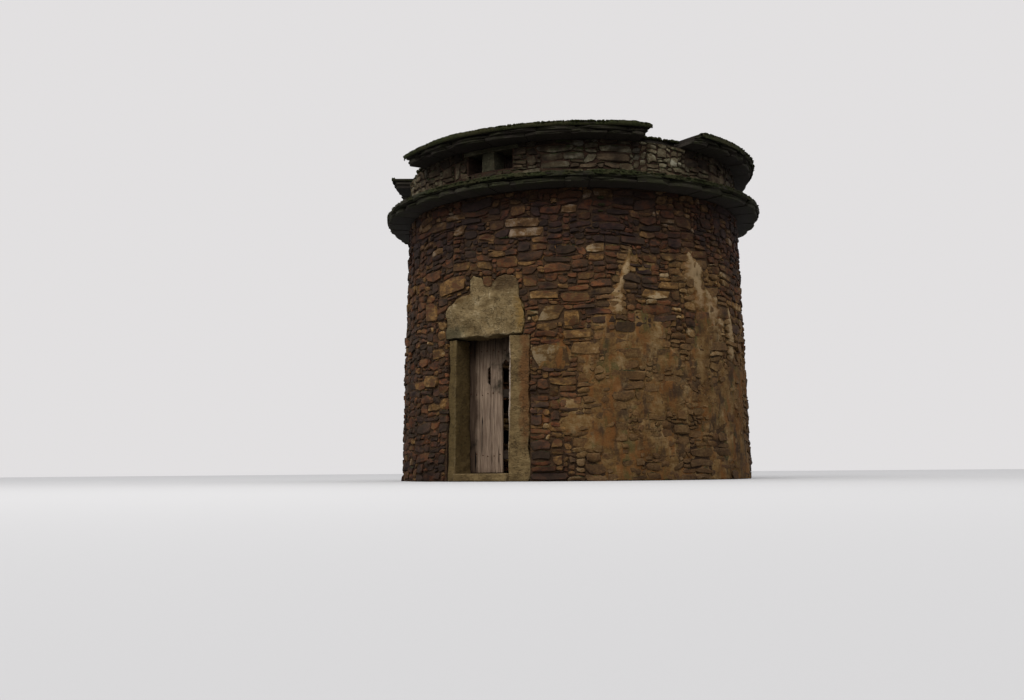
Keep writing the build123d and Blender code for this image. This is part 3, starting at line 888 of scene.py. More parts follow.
# How blocks are shaped and toned, and the sizes that they are drawn from
DRUM_LOOK = dict(
    joint=0.0028, round=0.011, knock=0.8, lean=0.07, taper=0.42, slant=0.25, ragged=0.0045,
    rounding=(0.15, 0.85), palest=0.84, bow=0.3, proud=0.012, least=0.003, most=0.034,
    swell=0.006, tilt=0.06, rough=0.0024, embed=0.02, wander=0.03, open=np.zeros_like,
    wash=lambda bearing, height: np.zeros_like(bearing),
)
DRUM_SIZES = dict(
    heights=[0.7, 2.8, 5, 5, 3.8, 2.3, 1.1], slimness=(1.45, 4.5), shortest=0.1, longest=0.5
)


def face_wall(name, number, grid, sectors, material, chosen=(), sizes=(), zones=(), **look):
    """Covers one face of a wall with blocks, as one piece for each sector.

    The number gives the face its own seeds. Inner faces have coarser blocks.
    """
    own = {
        "seed": 10 + number,
        "drift": smooth_field(3 * number, 16, 5.0),
        "sway": smooth_field(3 * number + 1, 14, 6.0),
        "hue": stone_hue(3 * number + 2, zones),
        "radius_at": lambda height: np.full_like(height, grid.radius),
    }
    look = {**DRUM_LOOK, **own, **look}
    inside = material == "inner_rubble"
    stones = lay_stones(grid, 20 + number, {**DRUM_SIZES, **dict(sizes)}, chosen)
    template = stone_template(3 if inside else 4)
    points = template_points(template)
    places, tint, bearing = stone_shapes(grid, stones, points, -1 if inside else 1, look)
    sector_of = np.minimum((bearing / (FULL_TURN / sectors)).astype(int), sectors - 1)
    for sector in range(sectors):
        mine = np.nonzero(sector_of == sector)[0]
        shape = bmesh.new()
        for _ in mine:
            shape.from_mesh(template)
        if inside:
            bmesh.ops.reverse_faces(shape, faces=shape.faces)
        title = f"{name}_{sector + 1}"
        mesh = to_mesh(shape, title, places[mine])
        set_attribute(mesh, "stone_tint", "FLOAT_COLOR", np.repeat(tint[mine], len(points), axis=0))
        add_mesh(title, mesh, material, "rubble", smooth=False)


# The door lintel's outline, as shares of its half width and of its height
LINTEL_OUTLINE = [
    (-0.96, 0.0), (0.95, 0.0), (1.0, 0.2), (1.0, 0.34), (0.97, 0.46), (0.88, 0.62), (0.87, 0.84),
    (0.78, 0.94), (0.57, 0.99), (0.34, 0.92), (0.16, 0.8), (0.02, 0.96), (-0.2, 1.0),
    (-0.31, 0.93), (-0.29, 0.71), (-0.63, 0.66), (-0.88, 0.54), (-1.0, 0.42), (-0.98, 0.19),
]


def lintel_outline():
    """The door lintel's outline in metres."""
    low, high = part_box("door_lintel")
    half = (high[0] - low[0]) / 2
    return [(x * half, low[2] + z * (high[2] - low[2])) for x, z in LINTEL_OUTLINE]


# Places where the drum's stones are warmer or darker: bearing, height, reach in degrees and
# in metres, and the change
DRUM_ZONES = [
    (22, 1.95, 15, 0.6, 0.38), (-22, 2.0, 12, 0.6, -0.02), (-5, 3.1, 13, 0.35, -0.22),
    (-15, 2.75, 11, 0.35, -0.27), (20, 3.15, 14, 0.3, -0.22), (46, 2.95, 13, 0.4, -0.3),
    (36, 2.4, 9, 0.4, -0.2), (61, 3.3, 8, 0.5, 0.4), (57, 2.3, 8, 0.5, 0.22),
    (75, 1.2, 24, 0.8, 0.12),
]

# Stones that stand out in the drum: left bearing, bottom, width, height and tone. The first
# one fills the notch in the lintel's top.
NOTED_STONES = [
    (1.0, 2.43, 0.15, 0.15, 0.66), (-17.9, 2.36, 0.51, 0.21, 0.74),
    (-24.7, 2.60, 0.32, 0.15, 0.5), (-10.7, 2.63, 0.26, 0.12, 0.72),
    (-1.6, 2.66, 0.23, 0.10, 0.84), (5.6, 2.66, 0.30, 0.15, 0.5), (9.9, 3.02, 0.45, 0.14, 0.88),
    (-0.6, 3.01, 0.25, 0.10, 0.6), (-10.5, 3.12, 0.20, 0.16, 0.82),
    (33.0, 2.75, 0.25, 0.13, 0.84), (15.6, 2.21, 0.35, 0.11, 0.76),
    (18.4, 1.93, 0.29, 0.22, 0.8), (25.6, 1.90, 0.22, 0.19, 0.79),
    (18.2, 1.74, 0.28, 0.09, 0.52), (17.0, 1.38, 0.46, 0.28, 0.82),
    (28.1, 1.53, 0.39, 0.18, 0.8), (-21.0, 1.60, 0.28, 0.15, 0.76),
    (-28.5, 1.48, 0.24, 0.12, 0.5), (-25.0, 1.20, 0.34, 0.18, 0.74),
    (-25.5, 2.08, 0.26, 0.25, 0.66), (14.6, 2.37, 0.17, 0.15, 0.5),
    (29.9, 2.44, 0.21, 0.11, 0.56), (50.6, 2.70, 0.21, 0.13, 0.72),
    (57.1, 2.73, 0.23, 0.10, 0.78), (56.2, 2.53, 0.15, 0.07, 1.0),
    (48.9, 1.53, 0.20, 0.11, 0.92), (25.8, 1.73, 0.32, 0.13, 0.78),
    (9.9, 3.30, 0.22, 0.16, 0.54), (25.6, 3.30, 0.20, 0.11, 0.86),
    (15.5, 3.49, 0.13, 0.11, 0.62), (3.6, 3.14, 0.21, 0.14, 0.52),
    (-23.5, 3.25, 0.35, 0.12, 0.72), (62.9, 3.16, 0.26, 0.16, 0.68),
    (37.6, 3.06, 0.32, 0.10, 0.15), (43.7, 2.90, 0.33, 0.11, 0.25),
    (24.5, 2.78, 0.25, 0.12, 0.18), (20.9, 2.55, 0.33, 0.12, 0.4), (25.3, 2.18, 0.37, 0.12, 0.5),
    (17.0, 2.82, 0.21, 0.11, 0.5),
]

# The same for the upper wall
UPPER_ZONES = [(60, 4.0, 12, 1.0, 0.46), (80, 3.9, 14, 1.0, 0.34)]
NOTED_UPPER = [
    (-1.0, RING_TOP, 0.44, 0.04, 0.85), (33.5, 3.93, 0.16, 0.12, 0.74),
    (57.0, 4.06, 0.15, 0.12, 0.74), (62.5, 3.98, 0.12, 0.12, 0.8), (61.0, 3.80, 0.2, 0.1, 0.7),
    (70.5, RING_TOP, 0.4, 0.04, 0.88), (81.5, RING_TOP, 0.4, 0.06, 0.76),
    (53.0, RING_TOP + 0.02, 0.18, 0.1, 0.72), (-18.0, 3.95, 0.2, 0.14, 0.55),
    (-12.0, 3.90, 0.12, 0.22, 0.64),
]

# Pale streaks of bare lime, from the top down: bearing, height and half width in degrees
LIME_STREAKS = [
    [(46.4, 2.84, 0.7), (45.4, 2.62, 1.3), (43.4, 2.42, 1.2), (42.0, 2.26, 2.5), (42.0, 2.06, 2.8)],
    [
        (67.5, 2.84, 1.2),
        (70.0, 2.68, 6.4),
        (70.0, 2.55, 6.4),
        (69.8, 2.46, 3.6),
        (74.0, 2.34, 7.5),
        (75.5, 2.2, 7.0),
        (78.0, 2.05, 3.0),
    ],
    [(88.0, 2.2, 1.4), (89.0, 1.9, 2.6), (88.5, 1.6, 2.0)],
]


def lime_cover(bearing, height):
    """How much render is left on the drum, from 0 to about 1."""
    turn = turned(bearing)
    low = ramp(turn, 12, 40) * ramp(turn, 118, 98) * ramp(height, 2.3, 1.55)
    high = ramp(turn, 60, 72) * ramp(turn, 104, 92) * ramp(height, 2.95, 2.4) * 0.55
    return np.maximum(low, high)


def streak_strength(bearing, height):
    """1 in the middle of a streak of lime, 0 at its edge and less outside it."""
    best = np.full(np.shape(bearing), -3.0)
    for streak in LIME_STREAKS:
        bearings, heights, widths = zip(*streak)
        down = [-level for level in heights]
        middle = np.interp(-height, down, bearings)
        half = np.interp(-height, down, widths)
        beyond = np.maximum(np.maximum(height - heights[0], heights[-1] - height), 0) * 12
        best = np.maximum(best, 1 - np.abs(bearing - middle) / half - beyond)
    return best


def lime_wash(bearing, height):
    """How far the stones themselves are stained by the render."""
    streaks = np.clip(streak_strength(bearing, height) * 0.4 + 0.9, 0, 1)
    return np.maximum(lime_cover(bearing, height), streaks)


def open_air(bearing):
    """1 where the upper ring has broken away and no painted shade falls, 0 elsewhere."""
    bare = np.zeros_like(bearing)
    for start, end in STUB_ARCS:
        inside = ramp(bearing, start - 2, start + 1) * ramp(bearing, end + 2, end - 1)
        bare = np.maximum(bare, inside)
    return bare


def drum_facing():
    """Rubble on the outer face of the drum."""
    grid = Grid((0.03, 0.0215), (TOP_RADIUS + BASE_RADIUS) / 2, 0.0, EAVE)
    jamb_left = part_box("left_jamb_stone")[0][0]
    jamb_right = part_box("right_jamb_stone")[1][0]
    grid.block(jamb_left, jamb_right, 0.0, DOOR_HEAD + 0.01)
    grid.free &= ~inside_outline(grid.x, grid.height, lintel_outline())
    chosen = grid.place(NOTED_STONES)
    column, row, width, height, _ = chosen[0]
    grid.free[column : column + width, row : row + height] = True
    more = {"zones": DRUM_ZONES, "wash": lime_wash, "radius_at": drum_radius}
    face_wall("drum_stones", 1, grid, 12, "rubble", chosen, **more)


def upper_facing():
    """Rubble on the outer face of the short wall between the rings."""
    grid = Grid((0.03, 0.0206), UPPER_RADIUS, RING_TOP, WALL_HEAD)
    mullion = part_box("flight_hole_mullion")
    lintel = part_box("flight_hole_lintel")
    left, right = FLIGHT_HOLES[0][0] - 0.009, FLIGHT_HOLES[1][1] + 0.009
    grid.block(left, right, mullion[0][2] - 0.012)
    grid.block(lintel[0][0], lintel[1][0], lintel[0][2])
    more = {"zones": UPPER_ZONES, "open": open_air, "palest": 0.76, "wander": 0.008}
    chosen = grid.place(NOTED_UPPER)
    face_wall("upper_stones", 2, grid, 6, "upper_rubble", chosen, **more)


def upper_inner_facing():
    """Rubble on the inner face of the short wall."""
    grid = Grid((0.037, 0.0275), UPPER_INNER_RADIUS, RING_TOP, WALL_HEAD)
    hole_low, hole_high = (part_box("flight_hole_mullion")[end][2] for end in (0, 1))
    for left, right in FLIGHT_HOLES:
        grid.block(left - 0.012, right + 0.012, hole_low - 0.01, hole_high + 0.01)
    face_wall("upper_inner_stones", 4, grid, 4, "inner_rubble", wander=0.0, proud=0.01)


def inner_facing():
    """Rubble on the inner face of the drum, round the nest holes."""
    grid = Grid((0.0395, 0.0345), ROOM_RADIUS, FLOOR_TOP, EAVE)
    half_opening = HALF_REBATE + (REBATE - ROOM_RADIUS) * SPLAY + 0.03
    grid.block(-half_opening, half_opening, FLOOR_TOP, INNER_BEAM_TOP)
    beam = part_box("inner_lintel")
    half_beam = beam[1][0] + 0.01
    grid.block(-half_beam, half_beam, beam[0][2] - 0.01, beam[1][2] + 0.01)
    slab_width = 8  # in cells, of the slab over a nest hole
    chosen = []
    for middle in range(0, FULL_TURN, NEST_BAY):
        local = np.radians(turned(grid.bearing - middle))
        offset = ROOM_RADIUS * np.sin(local)
        for sill in NEST_SILLS:
            for side in (-1, 1):
                beside_door = middle in (30, 330) and (side < 0) == (middle == 30)
                if (beside_door and sill < INNER_BEAM_TOP) or (middle == 0 and sill < LINTEL_TOP):
                    continue
                centre = side * NEST_HALF_SPACING
                hole = np.abs(offset - centre) < NEST_WIDTH / 2 + 0.014
                hole &= (np.abs(local) < 1) & (grid.height > sill - 0.012)
                grid.free &= ~(hole & (grid.height < sill + NEST_HEIGHT + 0.012))
                turn = middle + math.degrees(centre / ROOM_RADIUS)
                column = (grid.column(turn) - slab_width // 2) % grid.columns
                row = math.ceil((sill + NEST_HEIGHT - FLOOR_TOP) / grid.cell[1])
                chosen.append((column, row, slab_width, 2, 0.75))
    sizes = {"heights": [0, 3, 4, 3], "slimness": (1.3, 3.6), "longest": 0.34}
    more = {"wander": 0.0, "lean": 0.02, "proud": 0.008}
    face_wall("inner_stones", 3, grid, 12, "inner_rubble", chosen, sizes, **more)


# Slate rings and moss

def flag_template():
    """A cube of side 1, cut into small faces."""
    shape = bmesh.new()
    bmesh.ops.create_cube(shape, size=1.0)
    bmesh.ops.subdivide_edges(shape, edges=shape.edges[:], cuts=3, use_grid_fill=True)
    return to_mesh(shape, "flag_template")


FLAG = flag_template()


def new_flag(shape):
    """Adds a flag to a shape. Returns its corners."""
    shape.from_mesh(FLAG)
    shape.verts.ensure_lookup_table()
    return shape.verts[-len(FLAG.vertices) :]


def add_flags(name, shape, tints, *options, **more):
    """Makes a shape of flags a piece, with a tint for each flag."""
    bmesh.ops.recalc_face_normals(shape, faces=shape.faces)
    mesh = to_mesh(shape, name)
    set_attribute(mesh, "slab_tint", "FLOAT", np.repeat(tints, len(FLAG.vertices)))
    return add_mesh(name, mesh, *options, smooth=False, **more)


def ring_slabs(name, layers, inner, outer, low, high, seed, replaced, setback):
    """Layers of overlapping slate flags, ragged at their outer edge, lower ones set back."""
    rng = random.Random(seed)
    shape = bmesh.new()
    thick = (high - low) / len(layers)
    tints = []
    for layer, arcs in enumerate(layers):
        bottom = low + layer * thick
        back = setback * (len(layers) - 1 - layer)
        for start, end in arcs:
            bearing = start
            while bearing < end - 0.5:
                width = min(rng.uniform(6, 15), end - bearing)
                if end - bearing - width < 4:
                    width = end - bearing
                reach = outer - rng.uniform(0.0, 0.03) - back
                gap = rng.uniform(0.03, 0.14)
                depth = thick * rng.uniform(0.8, 1.1)
                ends = (bearing + gap, bearing + width - gap)
                bend_flag(new_flag(shape), rng, ends, inner, reach, bottom, depth, high)
                tints.append(rng.uniform(0, 1))
                bearing += width
    add_flags(name, shape, tints, "slate", "slate", replaced=replaced)


def bend_flag(corners, rng, ends, inner, outer, bottom, thick, most):
    """Shapes one slate flag of a ring between two bearings."""
    phase = rng.uniform(0, 50)
    lean = rng.uniform(-0.012, 0.012)
    for vert in corners:
        u, v, w = vert.co
        edge = max(0.0, v - 0.1) / 0.4
        bearing = ends[0] + (ends[1] - ends[0]) * (u + 0.5)
        ragged = noise.noise(Vector((bearing * 0.35, v * 3 + phase, w * 2))) * 0.06 * edge
        corner = max(0.0, abs(u) - 0.3) * rng.uniform(0.05, 0.2) * edge
        radius = inner + (outer - inner) * (v + 0.5) + min(ragged, 0.0) - corner
        pinch = 1 - 0.18 * edge
        bumps = noise.noise(Vector((bearing * 0.5, radius * 9, phase))) * 0.008
        height = bottom + thick * (0.5 + w * pinch) + bumps + lean * u
        vert.co = polar(radius, bearing, min(max(height, bottom + 0.001), most))


def moss_bank(name, arcs, inner, outer, top, drop, seed, threshold):
    """A lumpy bank of moss over the outer edge of a ring, sunk where none grows."""
    most = 0.03
    flat = outer - inner
    shape = bmesh.new()
    for start, end in arcs:
        along = round((end - start) * 2.2)
        made = bmesh.ops.create_grid(shape, x_segments=along, y_segments=14, size=0.5)["verts"]
        for vert in made:
            u, v = vert.co.x + 0.5, vert.co.y + 0.5
            bearing = start + (end - start) * u
            run = v * (flat + drop)
            radius = inner + min(run, flat)
            height = top - max(run - flat, 0)
            angle = math.radians(bearing)
            around = Vector((radius * math.sin(angle), radius * math.cos(angle), height + seed))
            lumps = noise.fractal(around * 9, 1.0, 2.0, 4) * 0.5 + noise.noise(around * 26) * 0.3
            patch = noise.noise(around * 1.7 + Vector((seed, 0, 0)))
            ends = min(u, 1 - u) * (end - start)
            growth = lumps + patch * 1.1 + threshold + 0.6 * (min(run / flat, 1.0) - 0.8)
            rise = min(max(growth * most, -0.02), most)
            rise -= 0.02 * max(0.0, 1 - ends)
            turn = min(max((run - flat + 0.03) / 0.06, 0.0), 1.0) * math.pi / 2
            height += rise * math.cos(turn)
            radius += rise * math.sin(turn) * 0.7
            vert.co = polar(min(radius, LOWER_RING_RADIUS), bearing, min(height, SUMMIT))
    bmesh.ops.solidify(shape, geom=shape.faces[:], thickness=0.012)
    bmesh.ops.recalc_face_normals(shape, faces=shape.faces)
    keep_between(shape, EAVE, SUMMIT)
    add_piece(name, shape, "moss", "slate")


def moss_tufts(name, beds, seed):
    """Small cushions of moss. A bed is a count, two bearings, two radii, a height and a size."""
    cushion = bmesh.new()
    bmesh.ops.create_uvsphere(cushion, u_segments=8, v_segments=5, radius=1.0)
    template = to_mesh(cushion, "cushion")
    points = template_points(template)
    rng = np.random.default_rng(seed)
    shape = bmesh.new()
    places = []
    for count, start, end, near, far, height, size in beds:
        for _ in range(count):
            shape.from_mesh(template)
            turn = math.radians(rng.uniform(start, end))
            radius = near + (far - near) * math.sqrt(rng.uniform())
            girth = size * rng.uniform(0.5, 1.3, 3) * np.array([1.0, 1.0, 0.62])
            lumpy = points * girth * (1 + rng.normal(0, 0.13, (len(points), 1)))
            x = lumpy[:, 0] + radius * math.sin(turn)
            y = lumpy[:, 1] - radius * math.cos(turn)
            places.append(np.stack((x, y, height + lumpy[:, 2]), axis=1))
    spots = np.concatenate(places)
    reach = np.hypot(spots[:, 0], spots[:, 1])
    spots[:, :2] *= np.minimum(1, LOWER_RING_RADIUS / reach)[:, None]
    spots[:, 2] = np.minimum(spots[:, 2], SUMMIT)
    add_mesh(name, to_mesh(shape, name, spots), "moss", "slate")


def rings():
    """Both rings of slate with their moss."""
    lower = [f"lower_cornice_{side}" for side in ("front", "right", "back", "left")]
    sides = ("front_left", "front_right", "right", "back", "left")
    upper = [f"upper_cornice_{side}" for side in sides]
    inner = UPPER_RING_INNER_RADIUS
    top = SUMMIT - 0.02
    stub_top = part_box("broken_cornice_stubs")[1][2]
    stub_edge = UPPER_RADIUS - 0.03
    sizes = (ROOM_RADIUS, LOWER_RING_RADIUS, EAVE, RING_TOP)
    ring_slabs("lower_ring_slates", LOWER_LAYERS, *sizes, 31, lower, 0.02)
    sizes = (inner, UPPER_RING_RADIUS, WALL_HEAD, top)
    ring_slabs("upper_ring_slates", UPPER_LAYERS, *sizes, 32, upper, 0.016)
    sizes = (inner, stub_edge, WALL_HEAD, stub_top)
    ring_slabs("broken_slate_stubs", [STUB_ARCS], *sizes, 33, ["broken_cornice_stubs"], 0.0)

    near, far = UPPER_RADIUS + 0.02, LOWER_RING_RADIUS - 0.03
    bank_top = RING_TOP - 0.006
    moss_bank("lower_ring_moss", LOWER_LAYERS[0], near, far, bank_top, 0.035, 3.1, 0.1)
    near, far = inner + 0.25, UPPER_RING_RADIUS - 0.02
    bank_top = top - 0.006
    moss_bank("upper_ring_moss", UPPER_LAYERS[-1], near, far, bank_top, 0.05, 7.7, 0.22)

    edge = UPPER_RING_RADIUS - 0.012
    beds = []
    for start, end in UPPER_LAYERS[-1]:
        count = round((end - start) * 4.5)
        beds.append((count, start + 0.3, end - 0.3, edge - 0.06, edge, bank_top, 0.023))
    for start, end in STUB_ARCS:
        count = round((end - start) * 5)
        beds.append((count, start, end, stub_edge - 0.25, stub_edge, stub_top - 0.01, 0.035))
    moss_tufts("upper_moss_cushions", beds, 51)
    edge = LOWER_RING_RADIUS - 0.02
    foot = UPPER_RADIUS + 0.02
    beds = [
        (1300, 0, FULL_TURN, edge - 0.06, edge, RING_TOP - 0.008, 0.018),
        (420, 0, FULL_TURN, foot, UPPER_RADIUS + 0.07, RING_TOP, 0.028),
        (110, 33, 51, UPPER_RADIUS + 0.03, UPPER_RADIUS + 0.14, RING_TOP + 0.02, 0.036),
        (50, 37, 49, foot, UPPER_RADIUS + 0.08, RING_TOP + 0.07, 0.036),
    ]
    moss_tufts("lower_moss_cushions", beds, 52)
    face, out = TOP_RADIUS + 0.01, TOP_RADIUS + 0.025
    beds = [
        (14, 7.0, 9.6, face, TOP_RADIUS + 0.03, 3.03, 0.026),
        (8, 37.3, 38.8, face, out, 3.49, 0.024),
        (8, 37.5, 38.8, face, out, 3.40, 0.024),
        (8, 37.3, 38.6, face, out, 3.32, 0.022),
    ]
    moss_tufts("wall_moss_cushions", beds, 53)


# Worked pieces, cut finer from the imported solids

# The steps of the cuts, the bevel, the roughness, the grain, the seed and the material
DRESSED = {
    "door_lintel": ((0.035, 0.06, 0.035), 0.022, 0.03, (5, 5, 5), 2.0, "lintel"),
    "left_jamb_stone": ((0.03, 0.05, 0.05), 0.014, 0.016, (7, 7, 4), 5.0, "jamb"),
    "right_jamb_stone": ((0.03, 0.05, 0.05), 0.014, 0.016, (7, 7, 4), 9.0, "jamb"),
    "door_sill": ((0.05, 0.05, 0.03), 0.012, 0.004, (6, 6, 6), 1.0, "jamb"),
    "flight_hole_mullion": ((0.03, 0.05, 0.03), 0.012, 0.01, (8, 8, 8), 4.0, "mullion"),
    "flight_hole_lintel": ((0.04, 0.06, 0.02), 0.01, 0.008, (8, 8, 8), 6.0, "mullion"),
}
BEAM = ((0.05, 0.04, 0.03), 0.012, 0.012, (2, 9, 9), 8.0, "beam")
PLANK = ((0.02, 0.02, 0.06), 0.004, 0.0035, (26, 26, 1.5))
LEDGES = ((0.06, 0.02, 0.02), 0.004, 0.003, (2, 26, 26), 2.0, "ledge")


def weathered(name, step, chamfer, rough, grain, seed, material, slot="old_timber", body=BODY):
    """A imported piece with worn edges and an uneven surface. It replaces the plain one."""
    shape = bmesh.new()
    shape.from_mesh(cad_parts[name].data)
    bmesh.ops.remove_doubles(shape, verts=shape.verts, dist=0.0001)
    flat = math.radians(4)
    bmesh.ops.dissolve_limit(shape, angle_limit=flat, verts=shape.verts, edges=shape.edges)
    sharp = [edge for edge in shape.edges if edge.is_manifold and edge.calc_face_angle(0) > 0.5]
    worn = {"offset": chamfer, "affect": "EDGES", "segments": 2, "profile": 0.5, "material": -1}
    bmesh.ops.bevel(shape, geom=sharp, **worn)
    low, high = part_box(name)
    for axis in range(3):
        cuts = int((high[axis] - low[axis]) / step[axis])
        for cut in range(1, cuts + 1):
            place, normal = [0.0, 0.0, 0.0], [0.0, 0.0, 0.0]
            place[axis] = low[axis] + (high[axis] - low[axis]) * cut / (cuts + 1)
            normal[axis] = 1.0
            geometry = shape.verts[:] + shape.edges[:] + shape.faces[:]
            bmesh.ops.bisect_plane(shape, geom=geometry, plane_co=place, plane_no=normal)
    bmesh.ops.triangulate(shape, faces=[face for face in shape.faces if len(face.verts) > 4])
    shape.normal_update()
    normals = [vert.normal.copy() for vert in shape.verts]
    for vert, normal in zip(shape.verts, normals):
        x, y, z = (place * fine for place, fine in zip(vert.co, grain))
        push = noise.fractal(Vector((x, y, z + seed)), 1.0, 2.0, 4) - 0.35
        vert.co += normal * push * rough
    keep_between(shape, 0.0, SUMMIT)
    return add_piece(name + "_weathered", shape, material, slot, body, [name])


def hollow_side(piece, inner, outer, depth, seed):
    """Hollows the side of a jamb that is away from the doorway, unevenly along its height."""
    for vert in piece.data.vertices:
        share = float(ramp(abs(vert.co.x), inner, outer))
        wave = noise.noise(Vector((seed, 0, vert.co.z * 3.1)))
        wave += 0.5 * noise.noise(Vector((seed, 5, vert.co.z * 9)))
        hollow = min(max(wave + 0.4, 0.0), 1.0) * depth * share
        vert.co.x -= math.copysign(hollow, vert.co.x)


def doorway_stones():
    """The lintel, jambs and sill of the doorway, the slabs of the flight holes and the beam."""
    made = {name: weathered(name, *row, "dressed_stone") for name, row in DRESSED.items()}
    hollow_side(made["left_jamb_stone"], 0.47, 0.54, 0.03, 3.0)
    hollow_side(made["right_jamb_stone"], 0.56, 0.68, 0.05, 8.0)
    weathered("inner_lintel", *BEAM)


def door():
    """The plank door with its ledges, iron and nails."""
    for number in range(1, 6):
        weathered(f"door_plank_{number}", *PLANK, number * 3.0, "plank", body="door")
    weathered("door_ledges", *LEDGES, body="door")
    for name in ("strap_hinges", "lock_case", "hinge_pintles"):
        dress_node(name, "iron")
    nails()


def nails():
    """Nail heads on the planks, in line with the ledges."""
    shape = bmesh.new()
    rng = random.Random(41)
    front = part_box("door_plank_1")[0][1]
    for number in range(1, 6):
        low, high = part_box(f"door_plank_{number}")
        for ledge in LEDGE_HEIGHTS:
            if ledge < low[2]:
                continue
            for share in (0.25, 0.75):
                head = bmesh.ops.create_icosphere(shape, subdivisions=2, radius=0.009)["verts"]
                bmesh.ops.scale(shape, verts=head, vec=(1, 0.45, 1))
                x = low[0] + (high[0] - low[0]) * share + rng.uniform(-0.008, 0.008)
                place = (x, front + 0.001, ledge + rng.uniform(-0.02, 0.02))
                bmesh.ops.translate(shape, verts=head, vec=place)
    add_piece("door_nails", shape, "iron", "wrought_iron", "door")


# Render

LIME_ARC = (17.5, 116)  # bearings
LIME_TOP = 2.9
LIME_STEP = 0.029  # of its grid


def lime_patches():
    """Thin remains of render, sunk behind the stones where it has fallen."""
    start, end = LIME_ARC
    along = round(math.radians(end - start) * BASE_RADIUS / LIME_STEP)
    up = round(LIME_TOP / LIME_STEP)
    shape = bmesh.new()
    bare = shape.verts.layers.float.new("bare_lime")
    made = bmesh.ops.create_grid(shape, x_segments=along, y_segments=up, size=0.5)["verts"]
    for vert in made:
        bearing = start + (end - start) * (vert.co.x + 0.5)
        height = LIME_TOP * (vert.co.y + 0.5)
        around = polar(drum_radius(height), bearing, height)
        cover = float(lime_cover(np.float64(bearing), np.float64(height)))
        patch = noise.fractal(around * 2.3, 1.0, 2.0, 5) + 0.35 * noise.noise(around * 11)
        streak = float(streak_strength(bearing, height)) + noise.noise(around * 9) * 0.6
        level = max(cover * 0.85 - 0.5 + patch * 0.85, min(streak, 0.8))
        lumps = noise.fractal(around * 16, 1.0, 2.0, 3)
        proud = min(max(level * 0.05, -0.014), 0.024) + lumps * 0.004
        vert[bare] = min(max(streak, 0.0), 1.0)
        vert.co = polar(drum_radius(height) + proud, bearing, height)
    bmesh.ops.solidify(shape, geom=shape.faces[:], thickness=0.01)
    bmesh.ops.recalc_face_normals(shape, faces=shape.faces)
    keep_between(shape, 0.002, LIME_TOP)
    add_piece("lime_render_remains", shape, "lime", "rubble")


# Floor

def paving():
    """Worn flagstones on a bed of earth. They replace the plain floor."""
    top = FLOOR_TOP - 0.001
    reach = ROOM_RADIUS - 0.003
    rng = random.Random(61)
    shape = bmesh.new()
    tints = []
    y = -reach
    while y < reach:
        deep = rng.uniform(0.3, 0.48)
        x = -reach - rng.uniform(0, 0.3)
        while x < reach:
            wide = rng.uniform(0.34, 0.7)
            if math.hypot(x + wide / 2, y + deep / 2) < reach + 0.12:
                wear_flag(new_flag(shape), rng, (x, x + wide), (y, y + deep), reach, top)
                tints.append(rng.uniform(0, 1))
            x += wide
        y += deep
    add_flags("floor_flagstones", shape, tints, "paving", "floor_stone", replaced=["floor"])
    bed = bmesh.new()
    deep = 0.084
    round_bed = {"cap_ends": True, "segments": 96, "radius1": reach, "radius2": reach}
    bmesh.ops.create_cone(bed, depth=deep, **round_bed)
    bmesh.ops.translate(bed, verts=bed.verts, vec=(0, 0, deep / 2))
    add_piece("floor_bed", bed, "earth", "floor_stone", replaced=["floor"], smooth=False)


def wear_flag(corners, rng, x_range, y_range, reach, top):
    """Shapes one flagstone of the floor, kept inside the round room."""
    phase = rng.uniform(0, 50)
    sink = rng.uniform(0, 0.003)
    for vert in corners:
        u, v, w = vert.co
        joint = 0.988 - 0.02 * noise.noise(Vector((u * 3, v * 3, phase)))
        x = (x_range[0] + x_range[1]) / 2 + (x_range[1] - x_range[0]) * u * joint
        y = (y_range[0] + y_range[1]) / 2 + (y_range[1] - y_range[0]) * v * joint
        shrink = min(1.0, reach / max(math.hypot(x, y), 0.001))
        bumps = 0.002 * noise.noise(Vector((x * 7, y * 7, phase)))
        worn = 0.004 * max(abs(u), abs(v)) ** 4 * 16 + bumps
        height = top - sink - (0.5 - w) * 0.03 - max(worn, 0.0)
        vert.co = (x * shrink, y * shrink, height)


def earth_bed():
    """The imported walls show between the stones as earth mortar."""
    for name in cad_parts:
        if name.startswith(("drum_wall", "wall_", "upper_wall")):
            dress_node(name, "earth")


# Camera, light and floor, fitted to the photograph

CAMERA_DISTANCE = 15.095
CAMERA_HEIGHT = 0.125
CAMERA_BEARING = 29.1
CAMERA_YAW = 3.377
CAMERA_PITCH = 6.587
CAMERA_ROLL = -0.469
CAMERA_LENS = 36.91
LAMP_PLACE = polar(11, CAMERA_BEARING - 18, 11.5)
LAMP_AIM = Vector((0, 0, 2.2))
SKY_TONES = [(0.0, (0.42, 0.42, 0.43)), (1.0, (1.15, 1.15, 1.18))]
SEEN_SKY = (0.76, 0.745, 0.75)
SEEN_FLOOR = (0.52, 0.515, 0.51)
FLOOR_TINT = (0.12, 0.12, 0.11)  # to the light that the floor throws back


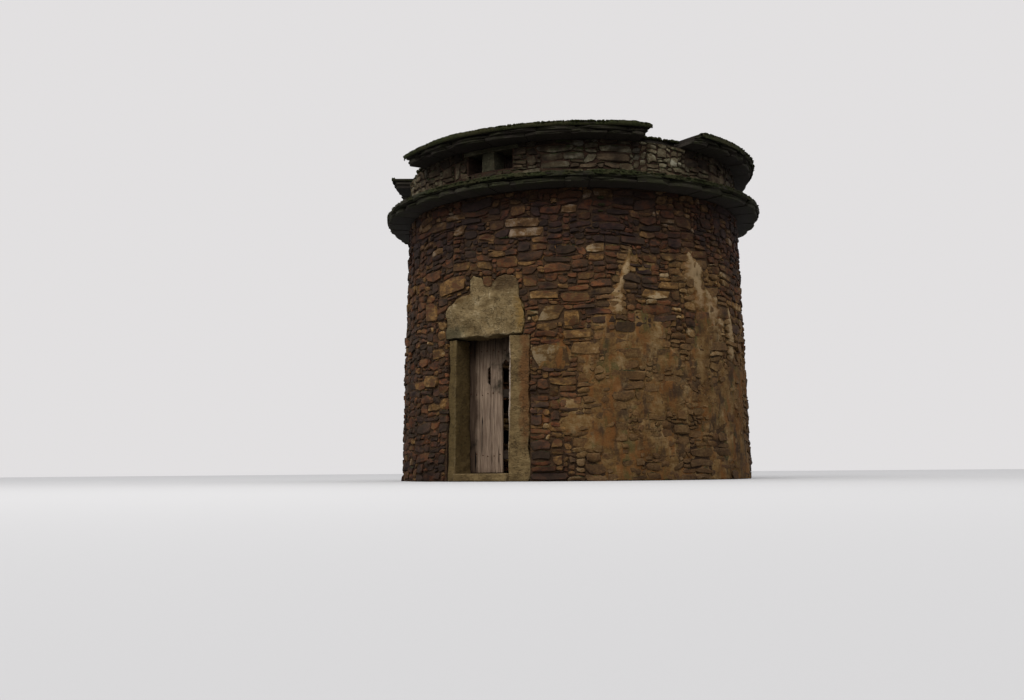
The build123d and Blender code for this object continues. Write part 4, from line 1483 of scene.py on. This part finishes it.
def set_camera():
    """The camera at the photograph's place and angle."""
    view = bpy.data.cameras.new("camera")
    view.lens = CAMERA_LENS
    view.sensor_width = 36.0
    item = add_object("camera", view)
    turn = Matrix.Rotation(math.radians(CAMERA_BEARING + CAMERA_YAW), 4, "Z")
    tilt = Matrix.Rotation(math.radians(90 + CAMERA_PITCH), 4, "X")
    roll = Matrix.Rotation(math.radians(CAMERA_ROLL), 4, "Z")
    place = polar(CAMERA_DISTANCE, CAMERA_BEARING, CAMERA_HEIGHT)
    item.matrix_world = Matrix.Translation(place) @ turn @ tilt @ roll
    bpy.context.scene.camera = item


def set_light():
    """An even overcast sky with a little more light from above the camera."""
    world = bpy.data.worlds.new("overcast")
    bpy.context.scene.world = world
    world.use_nodes = True
    mix = Recipe(world.node_tree)
    height = mix.part(mix.node("ShaderNodeTexCoord")["Generated"], "Z")
    mix.paint(height.between(-0.1, 0.6), SKY_TONES)
    mix.coat(mix.seen(), SEEN_SKY)
    background = world.node_tree.nodes["Background"]
    plug(background.inputs["Color"], mix.colour)
    background.inputs["Strength"].default_value = 1.0
    lamp = bpy.data.lights.new("soft_sky_light", "AREA")
    lamp.shape = "DISK"
    lamp.size = 9.0
    lamp.energy = 900
    item = add_object("soft_sky_light", lamp)
    aim = (LAMP_AIM - LAMP_PLACE).to_track_quat("-Z", "Y")
    item.matrix_world = Matrix.Translation(LAMP_PLACE) @ aim.to_matrix().to_4x4()
    bpy.context.scene.view_settings.view_transform = "Standard"


def set_stage():
    """A pale floor, darker to the light that it throws back."""
    shape = bmesh.new()
    bmesh.ops.create_circle(shape, cap_ends=True, segments=96, radius=60)
    mix = new_material("stage_floor")
    mix.colour = FLOOR_TINT
    mix.coat(mix.seen(), SEEN_FLOOR)
    shader = mix.tree.nodes["Principled BSDF"]
    plug(shader.inputs["Base Color"], mix.colour)
    shader.inputs["Roughness"].default_value = 1.0
    mesh = to_mesh(shape, "stage_floor")
    mesh.materials.append(mix.material)
    add_object("stage_floor", mesh)


set_camera()
set_light()
set_stage()
earth_bed()
drum_facing()
upper_facing()
upper_inner_facing()
inner_facing()
paving()
rings()
doorway_stones()
door()
lime_patches()
